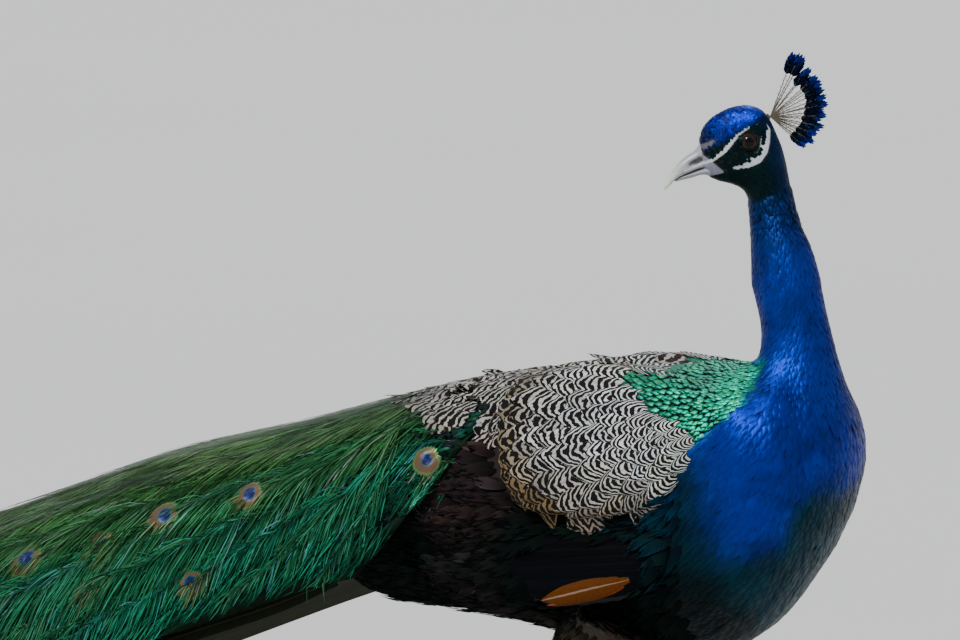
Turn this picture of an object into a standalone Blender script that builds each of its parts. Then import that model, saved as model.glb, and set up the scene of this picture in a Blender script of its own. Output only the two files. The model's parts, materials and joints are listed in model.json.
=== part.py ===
"""Indian peafowl cock (Pavo cristatus), life size, as a still museum model.

The bird stands on both feet with its folded train trailing to the floor behind it, and looks back over
its right shoulder. The tables below are millimetres: X forward, Y to the bird's left, Z up, with x = 0
between the feet. At the end everything is moved so that the origin is the bottom centre of its box.
"""

import math

import bmesh
import bpy
from mathutils import Matrix, Vector

MM = 0.001
GAP = 0.3  # thin cut between neighbouring pieces
SIDES = {"right": -1, "left": 1}

# Sagittal rings of the trunk and lower neck, tail root first:
# (dorsal x, z), (ventral x, z), half width
BODY = [
    ((-268, 345), (-262, 312), 20),
    ((-244, 370), (-240, 270), 46),
    ((-197, 397), (-200, 252), 66),
    ((-131, 420), (-132, 250), 80),
    ((-60, 438), (-62, 245), 88),
    ((0, 449), (8, 231), 90),
    ((45, 456), (70, 229), 90),
    ((76, 459), (113, 246), 88),
    ((93, 460), (146, 280), 86),
    ((104, 460), (177, 326), 83),
    ((111, 461), (194, 370), 75),
    ((116, 463), (197, 402), 62),
    ((120, 467), (192, 430), 46),
    ((121, 476), (184, 455), 34),
    ((120, 490), (177.5, 480), 29),
    ((116, 505), (171, 503), 28),
    ((111, 520.5), (167, 520.5), 28),
]
NECK_ROOT = 12  # index of the ring where the neck leaves the trunk
BODY_EGG = 0.08  # how much wider the trunk is above its middle than below

# Rings of the upper neck: centre x, y, z and radius. The last ring is the head's first one.
NECK = [((139, 0, 520.5), 28), ((136.5, 0, 536), 26), ((133, 0, 552), 23.2), ((129, -1, 567), 19.4)]

# The head's own frame: its origin is between the eyes, +X towards the bill, +Z up.
HEAD_AT = (111, -15.5, 627.7)
HEAD_YAW = -136  # turned right, past the shoulder
HEAD_PITCH = 18  # bill down
HEAD = [
    ((-24, -43), (11.5, -43), 17.6),
    ((-25.5, -30), (12, -39), 17.8),
    ((-26.5, -14), (13, -36), 18),
    ((-25, -1), (14.5, -34), 18),
    ((-24, 9), (16.5, -32), 17.8),
    ((-18.5, 20), (19, -30), 17.8),
    ((-8, 25.5), (22, -28), 18),
    ((2, 27), (25, -26), 17.6),
    ((12, 26), (28, -24), 16),
    ((21, 23.5), (31, -21.5), 13.6),
    ((28.5, 18), (34, -18.5), 11),
    ((33, 10), (36, -16), 8.6),
    ((35.5, 6), (37.5, -14.5), 7.4),
]
BILL_UPPER = [
    ((36.1, 5.4), (38.2, -9.2), 7),
    ((45, 2.8), (45.5, -9.4), 5.8),
    ((52, 0.2), (52, -9.8), 4.7),
    ((58, -3.8), (57.5, -10.6), 3.6),
    ((63.5, -8.6), (61.8, -12.6), 2.4),
    ((67.2, -12.2), (65.6, -14.4), 1.4),
    ((69, -14.7), (68.4, -15.2), 0.5),
]
BILL_LOWER = [
    ((38.2, -9.6), (38.6, -14.2), 6.2),
    ((45.5, -9.8), (45.5, -13.8), 4.9),
    ((52, -10.2), (52, -13.2), 3.6),
    ((57, -11), (56.6, -12.7), 2),
    ((58.8, -11.6), (58.5, -12.4), 0.9),
]
EYE_RADIUS, EYE_OUT = 7.0, 12.9

# The crest is a fan of quills, bare for most of their length, whose tips widen and close up into a band.
CREST_ROOT = (-17, 13)
CREST_FAN = (131, 239)  # degrees from the bill's direction, first and last quill
CREST_REACH = (52, 38.5)  # quill length at the first and at the last
CREST_QUILLS = 12
CREST_QUILL = 1.3  # width of a bare quill
CREST_BARE = (13, 17)  # bare from this far out of the root to this far short of the rim
CREST_HALF = 1.1  # half the fan's thickness

# Sections of a folded wing's panels: centre x, y out, z, half its height, half its thickness
COVERTS = [
    ((128, 62, 426), 9, 5),
    ((118, 66, 419), 26, 12),
    ((90, 68, 408), 49, 18),
    ((48, 68, 403), 61, 20),
    ((0, 67, 400), 63, 20),
    ((-34, 66, 398), 56, 18),
    ((-58, 65, 402), 41, 14),
    ((-72, 63, 408), 25, 8),
]
COVERTS_LEAN = 30  # how far the panel leans in over the back, degrees
SECONDARIES = [
    ((88, 86, 330), 12, 4),
    ((70, 88, 322), 30, 9),
    ((20, 88, 314), 37, 11),
    ((-40, 84, 306), 35, 11),
    ((-100, 76, 303), 27, 9),
    ((-140, 70, 304), 15, 5),
]
SECONDARIES_LEAN = 4
PRIMARIES = [
    ((70, 92, 307), 3, 2),
    ((54, 94, 301), 6, 4),
    ((22, 95, 293), 9, 4.5),
    ((-2, 95, 287), 11, 4),
    ((-13, 95, 284), 8, 2.5),
]
PRIMARIES_LEAN = 0
SCAPULARS = [
    ((60, 34, 446), 10, 9),
    ((30, 38, 442), 20, 13),
    ((-20, 40, 433), 26, 14),
    ((-80, 40, 421), 27, 13),
    ((-125, 36, 412), 23, 11),
    ((-162, 31, 405), 14, 7),
]
SCAPULARS_LEAN = 58

# Train sections: x of the edges, how far ahead the ridge is, ridge and edge height, half width, thickness
TRAIN = [
    (-178, 112, 443, 283, 101, 18),
    (-215, 62, 424, 270, 109, 20),
    (-290, 22, 389, 241, 122, 28),
    (-400, 0, 353, 202, 138, 34),
    (-550, 0, 297, 148, 153, 36),
    (-750, 0, 226, 88, 170, 36),
    (-950, 0, 158, 37, 184, 34),
    (-1120, 0, 101, 8, 192, 30),
    (-1250, 0, 60, 0, 188, 26),
    (-1350, 0, 33, 0, 164, 20),
    (-1420, 0, 17, 0, 116, 13),
    (-1452, 0, 9, 0, 58, 7),
]
TRAIN_LENGTHS = {"train_base": (0, 3), "train_middle": (3, 5), "train_far": (5, 7), "train_end": (7, 11)}
TRAIN_EDGE = 9  # thickness at the train's two edges
# Tail stations: x, middle height, half width, how far the edges droop
TAIL = [
    (-228, 303, 66, 28),
    (-262, 288, 90, 33),
    (-335, 262, 107, 34),
    (-450, 221, 116, 37),
    (-590, 168, 118, 36),
    (-632, 153, 98, 25),
]
TAIL_THICK = 8

# Legs. Places are x, y out, z of the bird's right leg; the left foot stands a little further back.
LEFT_BACK = 34
THIGH = [
    ((22, 52, 268), 40),
    ((10, 53, 240), 37),
    ((-12, 54, 210), 27),
    ((-32, 55, 184), 16),
    ((-40, 55, 170), 10.5),
]
SHANK = [
    ((-43, 55, 163), 8.2),
    ((-36, 55, 150), 5.8),
    ((-18, 56, 105), 4.7),
    ((4, 56, 50), 4.7),
    ((14, 56, 24), 6.2),
]
ANKLE = (17, 56, 13)
SPUR = [((-7, 51, 70), 3.6), ((-15, 46, 73), 2.4), ((-22, 42, 79), 0.7)]
# Toes: splay from straight ahead (out is positive), length, radius at the root
TOES = {"inner": (-34, 46, 5.2), "middle": (4, 66, 5.8), "outer": (42, 50, 5.2), "hind": (170, 22, 4.4)}
CLAW = 14


def clear_scene():
    for thing in list(bpy.data.objects):
        bpy.data.objects.remove(thing)


def material(name, colour, roughness, metallic=0.0):
    """A Principled material in one colour."""
    made = bpy.data.materials.new(name)
    made.use_nodes = True
    shader = made.node_tree.nodes["Principled BSDF"]
    shader.inputs["Base Color"].default_value = (*colour, 1)
    shader.inputs["Roughness"].default_value = roughness
    shader.inputs["Metallic"].default_value = metallic
    return made


def add(name, bm, look):
    """Turns a bmesh in millimetres into a named object in metres."""
    bmesh.ops.scale(bm, vec=(MM, MM, MM), verts=bm.verts)
    bmesh.ops.recalc_face_normals(bm, faces=bm.faces)
    mesh = bpy.data.meshes.new(name)
    bm.to_mesh(mesh)
    bm.free()
    mesh.shade_smooth()
    mesh.set_sharp_from_angle(angle=math.radians(50))
    if look:
        mesh.materials.append(look)
    made = bpy.data.objects.new(name, mesh)
    bpy.context.scene.collection.objects.link(made)
    return made


class Ring:
    """One closed section: its centre, its half axis towards the back and its half axis to the side."""

    def __init__(self, centre, up, side, egg=0.0):
        self.centre, self.up, self.side, self.egg = Vector(centre), Vector(up), Vector(side), egg

    def moved(self, matrix):
        turn = matrix.to_3x3()
        return Ring(matrix @ self.centre, turn @ self.up, turn @ self.side, self.egg)

    def shifted(self, distance):
        """The ring moved along its own axis."""
        axis = self.up.cross(self.side).normalized()
        return Ring(self.centre + axis * distance, self.up, self.side, self.egg)

    def points(self, count):
        for k in range(count):
            a = 2 * math.pi * k / count
            wide = math.sin(a) * (1 + self.egg * math.cos(a))
            yield self.centre + self.up * math.cos(a) + self.side * wide


def spline(a, b, c, d, f):
    """The value at share f of the way from b to c on a Catmull-Rom curve through the four."""
    return 0.5 * (2 * b + (c - a) * f + (2 * a - 5 * b + 4 * c - d) * f**2 + (3 * b - 3 * c + d - a) * f**3)


def blend(rings, t):
    """A smooth ring between the key rings."""
    i = min(int(t), len(rings) - 2)
    f = t - i
    four = [rings[min(max(i + k, 0), len(rings) - 1)] for k in (-1, 0, 1, 2)]

    def mix(name):
        return spline(*(getattr(ring, name) for ring in four), f)

    return Ring(mix("centre"), mix("up"), mix("side"), four[1].egg + (four[2].egg - four[1].egg) * f)


def stretch(rings, first, last, steps, start_gap=0.0, end_gap=0.0):
    """Rings from one key ring to another, with the two end rings drawn in by their gaps."""
    count = round((last - first) * steps)
    made = [blend(rings, first + (last - first) * k / count) for k in range(count + 1)]
    along = made[1].centre - made[0].centre
    way = 1 if made[0].up.cross(made[0].side).dot(along) > 0 else -1
    made[0] = made[0].shifted(way * start_gap)
    made[-1] = made[-1].shifted(-way * end_gap)
    return made


def skin_loops(bm, loops, folded=False):
    """Bridges closed loops of vertices in order and caps both ends. A folded loop runs out along a band's one
    side and back along its other, and its caps go across from side to side."""
    edges = []
    for loop in loops:
        ends = zip(loop, loop[1:] + loop[:1], strict=True)
        edges.append([bm.edges.new(pair) for pair in ends])
    for near, far in zip(edges, edges[1:]):
        bmesh.ops.bridge_loops(bm, edges=near + far)
    for loop in (loops[0], loops[-1]):
        if not folded:
            bm.faces.new(loop)
            continue
        for k in range(len(loop) // 2):
            corners = (loop[k], loop[k + 1], loop[-k - 1], loop[-k % len(loop)])
            bm.faces.new(dict.fromkeys(corners))
    bmesh.ops.recalc_face_normals(bm, faces=bm.faces)


def loft(rings, count):
    """A closed bmesh through the rings."""
    bm = bmesh.new()
    skin_loops(bm, [[bm.verts.new(p) for p in ring.points(count)] for ring in rings])
    return bm


def sagittal(rows, egg=0.0):
    """Rings in the bird's own middle plane, from dorsal and ventral points."""
    rings = []
    for (dx, dz), (vx, vz), half in rows:
        dorsal, ventral = Vector((dx, 0, dz)), Vector((vx, 0, vz))
        rings.append(Ring((dorsal + ventral) / 2, (dorsal - ventral) / 2, (0, half, 0), egg))
    return rings


def tube_rings(rows, turn=None):
    """Round rings square to a path of (place, radius) rows."""
    places = [Vector(place) for place, _ in rows]
    rings = []
    for k, (place, (_, radius)) in enumerate(zip(places, rows)):
        along = places[min(k + 1, len(places) - 1)] - places[max(k - 1, 0)]
        side = (turn or Vector((0, 1, 0))).cross(along).normalized()
        rings.append(Ring(place, side * radius, along.normalized().cross(side) * radius))
    return rings


def panel_rings(rows, sign, lean):
    """Flat oval rings of a wing panel, square to the body and leaning in over it."""
    a = math.radians(lean)
    up, out = Vector((0, -sign * math.sin(a), math.cos(a))), Vector((0, sign * math.cos(a), math.sin(a)))
    return [Ring((x, sign * y, z), up * high, out * thick) for (x, y, z), high, thick in rows]


def helper(thing):
    """Marks an object as a cutter, which isn't part of the bird."""
    thing.hide_render = True
    thing.display_type = "WIRE"
    return thing


def grown(source, by=GAP * 1.4):
    """A hidden copy of an object, a little fatter, that cuts its neighbours clear of it."""
    bm = bmesh.new()
    bm.from_mesh(source.data)
    bm.normal_update()
    for vert, normal in [(v, v.normal.copy()) for v in bm.verts]:
        vert.co += normal * by * MM
    mesh = bpy.data.meshes.new(source.name + "_cutter")
    bm.to_mesh(mesh)
    bm.free()
    made = bpy.data.objects.new(mesh.name, mesh)
    bpy.context.scene.collection.objects.link(made)
    return helper(made)


def boolean(target, other, operation="DIFFERENCE", solver="EXACT"):
    cut = target.modifiers.new(operation.title(), "BOOLEAN")
    cut.operation, cut.solver, cut.object = operation, solver, other


def joined(name, shapes, look):
    """One body from several overlapping bmeshes, by Boolean unions that are then applied."""
    pieces = [add(f"{name}_{k}", bm, None) for k, bm in enumerate(shapes)]
    for other in pieces[1:]:
        boolean(pieces[0], other, "UNION")
    bpy.context.view_layer.update()
    graph = bpy.context.evaluated_depsgraph_get()
    mesh = bpy.data.meshes.new_from_object(pieces[0].evaluated_get(graph))
    bm = bmesh.new()
    bm.from_mesh(mesh)
    bpy.data.meshes.remove(mesh)
    for piece in pieces:
        bpy.data.objects.remove(piece)
    bmesh.ops.scale(bm, vec=(1 / MM, 1 / MM, 1 / MM), verts=bm.verts)
    return bm


def flatten_at_floor(bm):
    """Cuts off what is below the floor and closes the cut with a flat."""
    everything = bm.verts[:] + bm.edges[:] + bm.faces[:]
    bmesh.ops.bisect_plane(bm, geom=everything, plane_co=(0, 0, 0), plane_no=(0, 0, -1), clear_outer=True)
    rim = [edge for edge in bm.edges if edge.is_boundary]
    bmesh.ops.holes_fill(bm, edges=rim, sides=0)


def head_matrix():
    turn = Matrix.Rotation(math.radians(HEAD_YAW), 4, "Z") @ Matrix.Rotation(math.radians(HEAD_PITCH), 4, "Y")
    return Matrix.Translation(HEAD_AT) @ turn


def build_trunk_and_neck(looks, head_rings):
    body = sagittal(BODY, BODY_EGG)
    trunk = add("trunk", loft(stretch(body, 0, NECK_ROOT, 1.5, 0, GAP / 2), 24), looks["breast"])
    add("neck_lower", loft(stretch(body, NECK_ROOT, len(body) - 1, 1.5, GAP / 2, GAP / 2), 20), looks["neck"])
    first = head_rings[0]
    axis = first.up.cross(first.side).normalized()
    across = axis.cross(Vector((0, 1, 0))).normalized() * first.up.length
    last = Ring(first.centre, -across, axis.cross(across))
    neck = [Ring(c, (-r, 0, 0), (0, r, 0)) for c, r in NECK] + [last]
    if neck[0].up.cross(neck[0].side).dot(last.up.cross(last.side)) < 0:
        last.side = -last.side
    add("neck_upper", loft(stretch(neck, 0, len(neck) - 1, 1.5, GAP / 2, GAP / 2), 20), looks["neck"])
    return trunk


def ball(radius, at):
    bm = bmesh.new()
    bmesh.ops.create_icosphere(bm, subdivisions=2, radius=radius, matrix=at)
    return bm


def build_head(looks, place, head_rings):
    head = add("head", loft(stretch(head_rings, 0, len(HEAD) - 1, 1.5, GAP / 2), 20), looks["head"])
    for name, rows in (("bill_upper", BILL_UPPER), ("bill_lower", BILL_LOWER)):
        rings = [ring.moved(place) for ring in sagittal(rows)]
        add(name, loft(stretch(rings, 0, len(rows) - 1, 1), 14), looks["horn"])
    for side, sign in SIDES.items():
        at = place @ Matrix.Translation((0, sign * EYE_OUT, 0))
        add(f"eye_{side}", ball(EYE_RADIUS, at), looks["eye"])
        boolean(head, helper(add(f"socket_{side}", ball(EYE_RADIUS + GAP, at), None)))
    return head


def build_crest(looks, place, head):
    """A thin upright fan: a rim scalloped by each quill's tip, and a window between each two bare quills."""
    root = Vector((CREST_ROOT[0], 0, CREST_ROOT[1]))
    gaps = CREST_QUILLS - 1

    def spot(share, distance, aside=0.0):
        """A place on the fan: how far round it, how far out of the root, and a step to the side."""
        angle = math.radians(CREST_FAN[0] + (CREST_FAN[1] - CREST_FAN[0]) * share)
        out = Vector((math.cos(angle), 0, math.sin(angle)))
        side = Vector((-math.sin(angle), 0, math.cos(angle)))
        return root + out * distance + side * aside

    def reach(share):
        return CREST_REACH[0] + (CREST_REACH[1] - CREST_REACH[0]) * share**1.6

    def slab(outline, half):
        bm = bmesh.new()
        skin_loops(bm, [[bm.verts.new(p + Vector((0, y, 0))) for p in outline] for y in (-half, half)])
        bmesh.ops.transform(bm, matrix=place, verts=bm.verts)
        return bm

    rim = [root + Vector((6, 0, 1))]
    for k in range(4 * gaps + 1):
        share = k / (4 * gaps)
        rim.append(spot(share, reach(share) - 1.6 * (1 - math.cos(2 * math.pi * share * gaps))))
    crest = add("crest", slab(rim, CREST_HALF), looks["crest"])

    windows = bmesh.new()
    for k in range(gaps):
        left, right = k / gaps, (k + 1) / gaps
        inner, aside = CREST_BARE[0], CREST_QUILL / 2
        outline = [
            spot(left, inner, aside),
            spot(left, reach(left) - CREST_BARE[1], aside),
            spot(right, reach(right) - CREST_BARE[1], -aside),
            spot(right, inner, -aside),
        ]
        window = slab(outline, 2 * CREST_HALF)
        mesh = bpy.data.meshes.new("window")
        window.to_mesh(mesh)
        window.free()
        windows.from_mesh(mesh)
        bpy.data.meshes.remove(mesh)
    boolean(crest, helper(add("crest_windows", windows, None)))
    boolean(crest, grown(head))


def build_wing(looks, side, trunk_cutter):
    """A folded wing in four layers. It returns their cutters."""
    panels = {
        "coverts": (COVERTS, COVERTS_LEAN, "barred"),
        "scapulars": (SCAPULARS, SCAPULARS_LEAN, "barred"),
        "secondaries": (SECONDARIES, SECONDARIES_LEAN, "dark"),
        "primaries": (PRIMARIES, PRIMARIES_LEAN, "rufous"),
    }
    pieces, cutters = {}, {}
    for panel, (rows, lean, look) in panels.items():
        rings = stretch(panel_rings(rows, SIDES[side], lean), 0, len(rows) - 1, 1.4)
        pieces[panel] = add(f"wing_{side}_{panel}", loft(rings, 16), looks[look])
        cutters[panel] = grown(pieces[panel])
        boolean(pieces[panel], trunk_cutter)
    boolean(pieces["scapulars"], cutters["coverts"])
    boolean(pieces["secondaries"], cutters["coverts"])
    boolean(pieces["primaries"], cutters["secondaries"])
    return cutters


def arch(station, count=20):
    """A closed saddle section of the train: over the top from edge to edge, then back underneath."""
    x, lead, ridge, edge, half, thick = station
    rim = min(TRAIN_EDGE, thick)
    over, under = [], []
    for k in range(count // 2 + 1):
        a = math.pi * k / (count // 2)
        rise = math.sin(a) ** 0.85
        across = math.copysign(abs(math.cos(a)) ** 0.85, math.cos(a)) * half
        z = edge + rim * 0.5 + (ridge - edge - rim * 0.5) * rise
        over.append(Vector((x + lead * rise, across, z)))
        under.append(Vector((x + lead * rise, across * 0.985, max(z - rim - (thick - rim) * rise, 0))))
    return over + under[-2:0:-1]


def between(stations, t):
    """A smooth station between the given ones."""
    i = min(int(t), len(stations) - 2)
    f = t - i
    four = [stations[min(max(i + k, 0), len(stations) - 1)] for k in (-1, 0, 1, 2)]
    return [spline(*values, f) for values in zip(*four)]


def build_train(looks, cutters):
    for name, (first, last) in TRAIN_LENGTHS.items():
        count = 2 * (last - first)
        rows = [between(TRAIN, first + (last - first) * k / count) for k in range(count + 1)]
        rows[0][0] -= GAP / 2
        rows[-1][0] += GAP / 2
        for row in rows:
            row[3] = max(row[3], 0)
        bm = bmesh.new()
        skin_loops(bm, [[bm.verts.new(p) for p in arch(row)] for row in rows], folded=True)
        piece = add(name, bm, looks["train"])
        if first == 0:
            for cutter in cutters:
                boolean(piece, cutter, solver="MANIFOLD")


def build_tail(looks, trunk_cutter):
    """The short stiff tail under the train, as one drooping fan."""
    loops, bm, count = [], bmesh.new(), 8
    for x, middle, half, droop in TAIL:
        over = []
        for j in range(count + 1):
            across = 1 - 2 * j / count
            over.append(Vector((x, half * across, middle - droop * across**2)))
        under = [p - Vector((0, 0, TAIL_THICK)) for p in reversed(over)]
        loops.append([bm.verts.new(p) for p in over + under])
    skin_loops(bm, loops)
    boolean(add("tail", bm, looks["tail"]), trunk_cutter)


def leg_place(place, sign, back):
    x, y, z = place
    return Vector((x - back, sign * y, z))


def build_leg(looks, side, cutters):
    sign = SIDES[side]
    shift = LEFT_BACK if side == "left" else 0

    def put(rows, top_fixed=False):
        """The rows on this leg; with the hip in place, the lower end swings back with the foot."""
        heights = [place[2] for place, _ in rows]
        share = [(max(heights) - z) / (max(heights) - min(heights)) if top_fixed else 1 for z in heights]
        return [(leg_place(place, sign, shift * s), r) for (place, r), s in zip(rows, share)]

    thigh = add(f"thigh_{side}", loft(stretch(tube_rings(put(THIGH, True)), 0, 4, 1.5), 16), looks["thigh"])
    for cutter in cutters:
        boolean(thigh, cutter)
    shank_rings = tube_rings(put(SHANK))
    shank = add(f"shank_{side}", loft(stretch(shank_rings, 0, 4, 1), 12), looks["leg"])
    spur = add(f"spur_{side}", loft(stretch(tube_rings(put(SPUR)), 0, 2, 1.5), 8), looks["claw"])
    boolean(spur, grown(shank))
    boolean(shank, grown(thigh))

    ankle = leg_place(ANKLE, sign, shift)
    shapes = []
    stub = [(ankle + Vector((-1.2, 0, 9)), 5.6), (ankle, 6.6), (ankle + Vector((2, 0, -9)), 6)]
    shapes.append(loft(tube_rings(stub), 12))
    for toe, (splay, length, radius) in TOES.items():
        a = math.radians(splay) * sign
        ahead = Vector((math.cos(a), math.sin(a), 0))
        floor = Vector((ankle.x, ankle.y, 0))
        low = Vector((0, 0, radius * 0.62))
        rows = [
            (ankle - Vector((0, 0, 3)), radius),
            (floor + ahead * length * 0.32 + low * 1.35, radius * 0.95),
            (floor + ahead * length * 0.66 + low, radius * 0.86),
            (floor + ahead * length + low, radius * 0.68),
        ]
        shapes.append(loft(stretch(tube_rings(rows, Vector((0, 0, 1))), 0, 3, 2), 8))
        start = floor + ahead * (length + GAP)
        claw = [
            (start + low, radius * 0.52),
            (start + ahead * CLAW * 0.5 + low, radius * 0.36),
            (start + ahead * CLAW + low * 0.3, 0.35),
        ]
        horn = stretch(tube_rings(claw, Vector((0, 0, 1))), 0, 2, 1.5)
        add(f"claw_{side}_{toe}", loft(horn, 6), looks["claw"])
    foot = joined(f"foot_{side}", shapes, looks["leg"])
    flatten_at_floor(foot)
    boolean(add(f"foot_{side}", foot, looks["leg"]), grown(shank))


def centre_on_floor():
    """Moves everything so that the origin is the bottom centre of the object's box."""
    bpy.context.view_layer.update()
    graph = bpy.context.evaluated_depsgraph_get()
    corners = []
    for thing in bpy.data.objects:
        if not thing.hide_render:
            corners += [Vector(corner) for corner in thing.evaluated_get(graph).bound_box]
    low = Vector(min(c[k] for c in corners) for k in range(3))
    high = Vector(max(c[k] for c in corners) for k in range(3))
    shift = Vector((-(low.x + high.x) / 2, -(low.y + high.y) / 2, -low.z))
    for thing in bpy.data.objects:
        thing.location = shift
    print("moved by", [round(v, 5) for v in shift])


def main():
    clear_scene()
    looks = {
        "breast": material("breast", (0.01, 0.05, 0.32), 0.45, 0.3),
        "neck": material("neck", (0.01, 0.06, 0.45), 0.4, 0.3),
        "head": material("head", (0.01, 0.07, 0.35), 0.5, 0.2),
        "horn": material("horn", (0.62, 0.6, 0.55), 0.45),
        "eye": material("eye", (0.06, 0.03, 0.02), 0.1),
        "crest": material("crest", (0.02, 0.03, 0.2), 0.5, 0.2),
        "barred": material("barred", (0.5, 0.44, 0.33), 0.7),
        "dark": material("dark", (0.01, 0.012, 0.03), 0.45),
        "rufous": material("rufous", (0.45, 0.14, 0.03), 0.6),
        "train": material("train", (0.03, 0.16, 0.07), 0.5, 0.3),
        "tail": material("tail", (0.12, 0.09, 0.07), 0.7),
        "thigh": material("thigh", (0.3, 0.22, 0.14), 0.8),
        "leg": material("leg", (0.3, 0.26, 0.22), 0.6),
        "claw": material("claw", (0.08, 0.07, 0.06), 0.4),
    }
    place = head_matrix()
    head_rings = [ring.moved(place) for ring in sagittal(HEAD, 0.04)]
    trunk = build_trunk_and_neck(looks, head_rings)
    trunk_cutter = grown(trunk)
    head = build_head(looks, place, head_rings)
    build_crest(looks, place, head)
    train_cutters = [trunk_cutter]
    for side in SIDES:
        wing = build_wing(looks, side, trunk_cutter)
        build_leg(looks, side, (trunk_cutter, wing["secondaries"], wing["primaries"]))
        train_cutters.append(wing["scapulars"])
    build_train(looks, train_cutters)
    build_tail(looks, trunk_cutter)
    centre_on_floor()


main()
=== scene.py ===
"""Looks of a life-size Indian peafowl cock: skin, bill, eyes and plumage over the solids of the still model.

Run it as a script in Blender 4.5. Tables of places are in the bird's own millimetres: X forward, Y out to either
side, Z up, with x = 0 between the feet. Everything that is built is in metres, in the frame's own place.
"""

import functools
import json
import math

import bmesh
import bpy
import numpy as np
from mathutils import Matrix, Vector
from mathutils.bvhtree import BVHTree
from mathutils.kdtree import KDTree
from numpy.random import default_rng

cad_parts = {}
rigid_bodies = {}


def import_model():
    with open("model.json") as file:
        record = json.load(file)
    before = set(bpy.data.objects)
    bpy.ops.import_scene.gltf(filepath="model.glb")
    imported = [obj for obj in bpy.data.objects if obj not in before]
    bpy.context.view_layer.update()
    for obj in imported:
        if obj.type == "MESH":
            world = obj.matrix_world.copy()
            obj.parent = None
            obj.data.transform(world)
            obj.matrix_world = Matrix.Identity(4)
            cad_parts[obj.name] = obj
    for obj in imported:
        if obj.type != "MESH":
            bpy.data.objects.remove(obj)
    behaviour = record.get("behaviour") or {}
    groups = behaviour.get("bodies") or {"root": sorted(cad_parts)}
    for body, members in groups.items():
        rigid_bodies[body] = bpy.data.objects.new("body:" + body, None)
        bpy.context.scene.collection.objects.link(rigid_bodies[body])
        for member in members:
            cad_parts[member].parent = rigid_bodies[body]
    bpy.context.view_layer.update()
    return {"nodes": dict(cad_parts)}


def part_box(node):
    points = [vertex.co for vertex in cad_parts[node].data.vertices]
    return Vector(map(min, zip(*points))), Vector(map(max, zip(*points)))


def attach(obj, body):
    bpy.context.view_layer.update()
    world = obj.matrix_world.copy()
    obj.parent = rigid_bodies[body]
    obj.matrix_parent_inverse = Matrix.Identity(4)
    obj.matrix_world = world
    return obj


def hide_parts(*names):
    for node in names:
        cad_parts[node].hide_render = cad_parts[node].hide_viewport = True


bl_info = {
    "name": "Peacock plumage",
    "version": (1, 0, 0),
    "blender": (4, 5, 0),
    "location": "View3D > Sidebar > Peacock",
    "description": "Builds the skin, bill, eyes and feathers of a standing peacock",
    "category": "Object",
}

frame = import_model()

MM = 0.001
BREAST_AHEAD = 0.1971  # how far the trunk's front lies ahead of the feet
HOME = np.array([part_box("trunk")[1].x - BREAST_AHEAD, 0.0, 0.0])  # the point between the feet
SIDES = {"right": -1, "left": 1}

BODY_PARTS = ["head", "neck_upper", "neck_lower", "trunk"]
LEG_PARTS = [f"{part}_{side}" for side in SIDES for part in ("thigh", "shank", "foot")]
PANELS = ("coverts", "scapulars", "secondaries", "primaries")
WING_PARTS = [f"wing_{side}_{panel}" for side in SIDES for panel in PANELS]
FLESH = BODY_PARTS + LEG_PARTS + WING_PARTS
TRAIN_PARTS = ["train_base", "train_middle", "train_far", "train_end"]


# ---------------- places and directions

def bird(points):
    """Row-frame metres as the bird's millimetres."""
    return (np.asarray(points) - HOME) / MM


def world(points):
    """The bird's millimetres as row-frame metres."""
    return np.asarray(points, float) * MM + HOME


def unit(vectors):
    return vectors / np.maximum(np.linalg.norm(vectors, axis=-1, keepdims=True), 1e-9)


def ease(low, high, value):
    """0 below low, 1 above high, smooth between."""
    t = np.clip((value - low) / (high - low), 0, 1)
    return t * t * (3 - 2 * t)


def middle_of(name):
    """The middle of a CAD node's box."""
    return sum(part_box(name), Vector()) / 2


BILL_DIP = math.radians(18)  # how far the bill points below the level


def head_frame():
    """The head's own frame: its origin between the eyes, +X towards the bill, +Z to the crown."""
    left, right = middle_of("eye_left"), middle_of("eye_right")
    out = (left - right).normalized()
    ahead = Vector((0, 0, 1)).cross(out).normalized() * -1
    bill = ahead * math.cos(BILL_DIP) - Vector((0, 0, 1)) * math.sin(BILL_DIP)
    crown = bill.cross(out)
    return Matrix((bill, out, crown)).transposed().to_4x4(), (left + right) / 2


TURN, BETWEEN_EYES = head_frame()
HEAD = Matrix.Translation(BETWEEN_EYES) @ TURN
EYE_RADIUS = 0.007


def in_head(points):
    """Row-frame points as millimetres in the head's own frame."""
    turn = np.array(TURN.to_3x3())
    return (np.asarray(points) - np.array(BETWEEN_EYES)) @ turn / MM


def field(points, keys, reach):
    """A smooth blend of key values. A key is (x, y out, z) in the bird's millimetres, then its values."""
    keys = np.array(keys, float)
    place = bird(points)
    place[:, 1] = abs(place[:, 1])
    away = ((place[:, None, :] - keys[None, :, :3]) ** 2).sum(-1)
    weight = np.exp(-(away - away.min(1, keepdims=True)) / (2 * reach**2))
    return weight @ keys[:, 3:] / weight.sum(1, keepdims=True)


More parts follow.
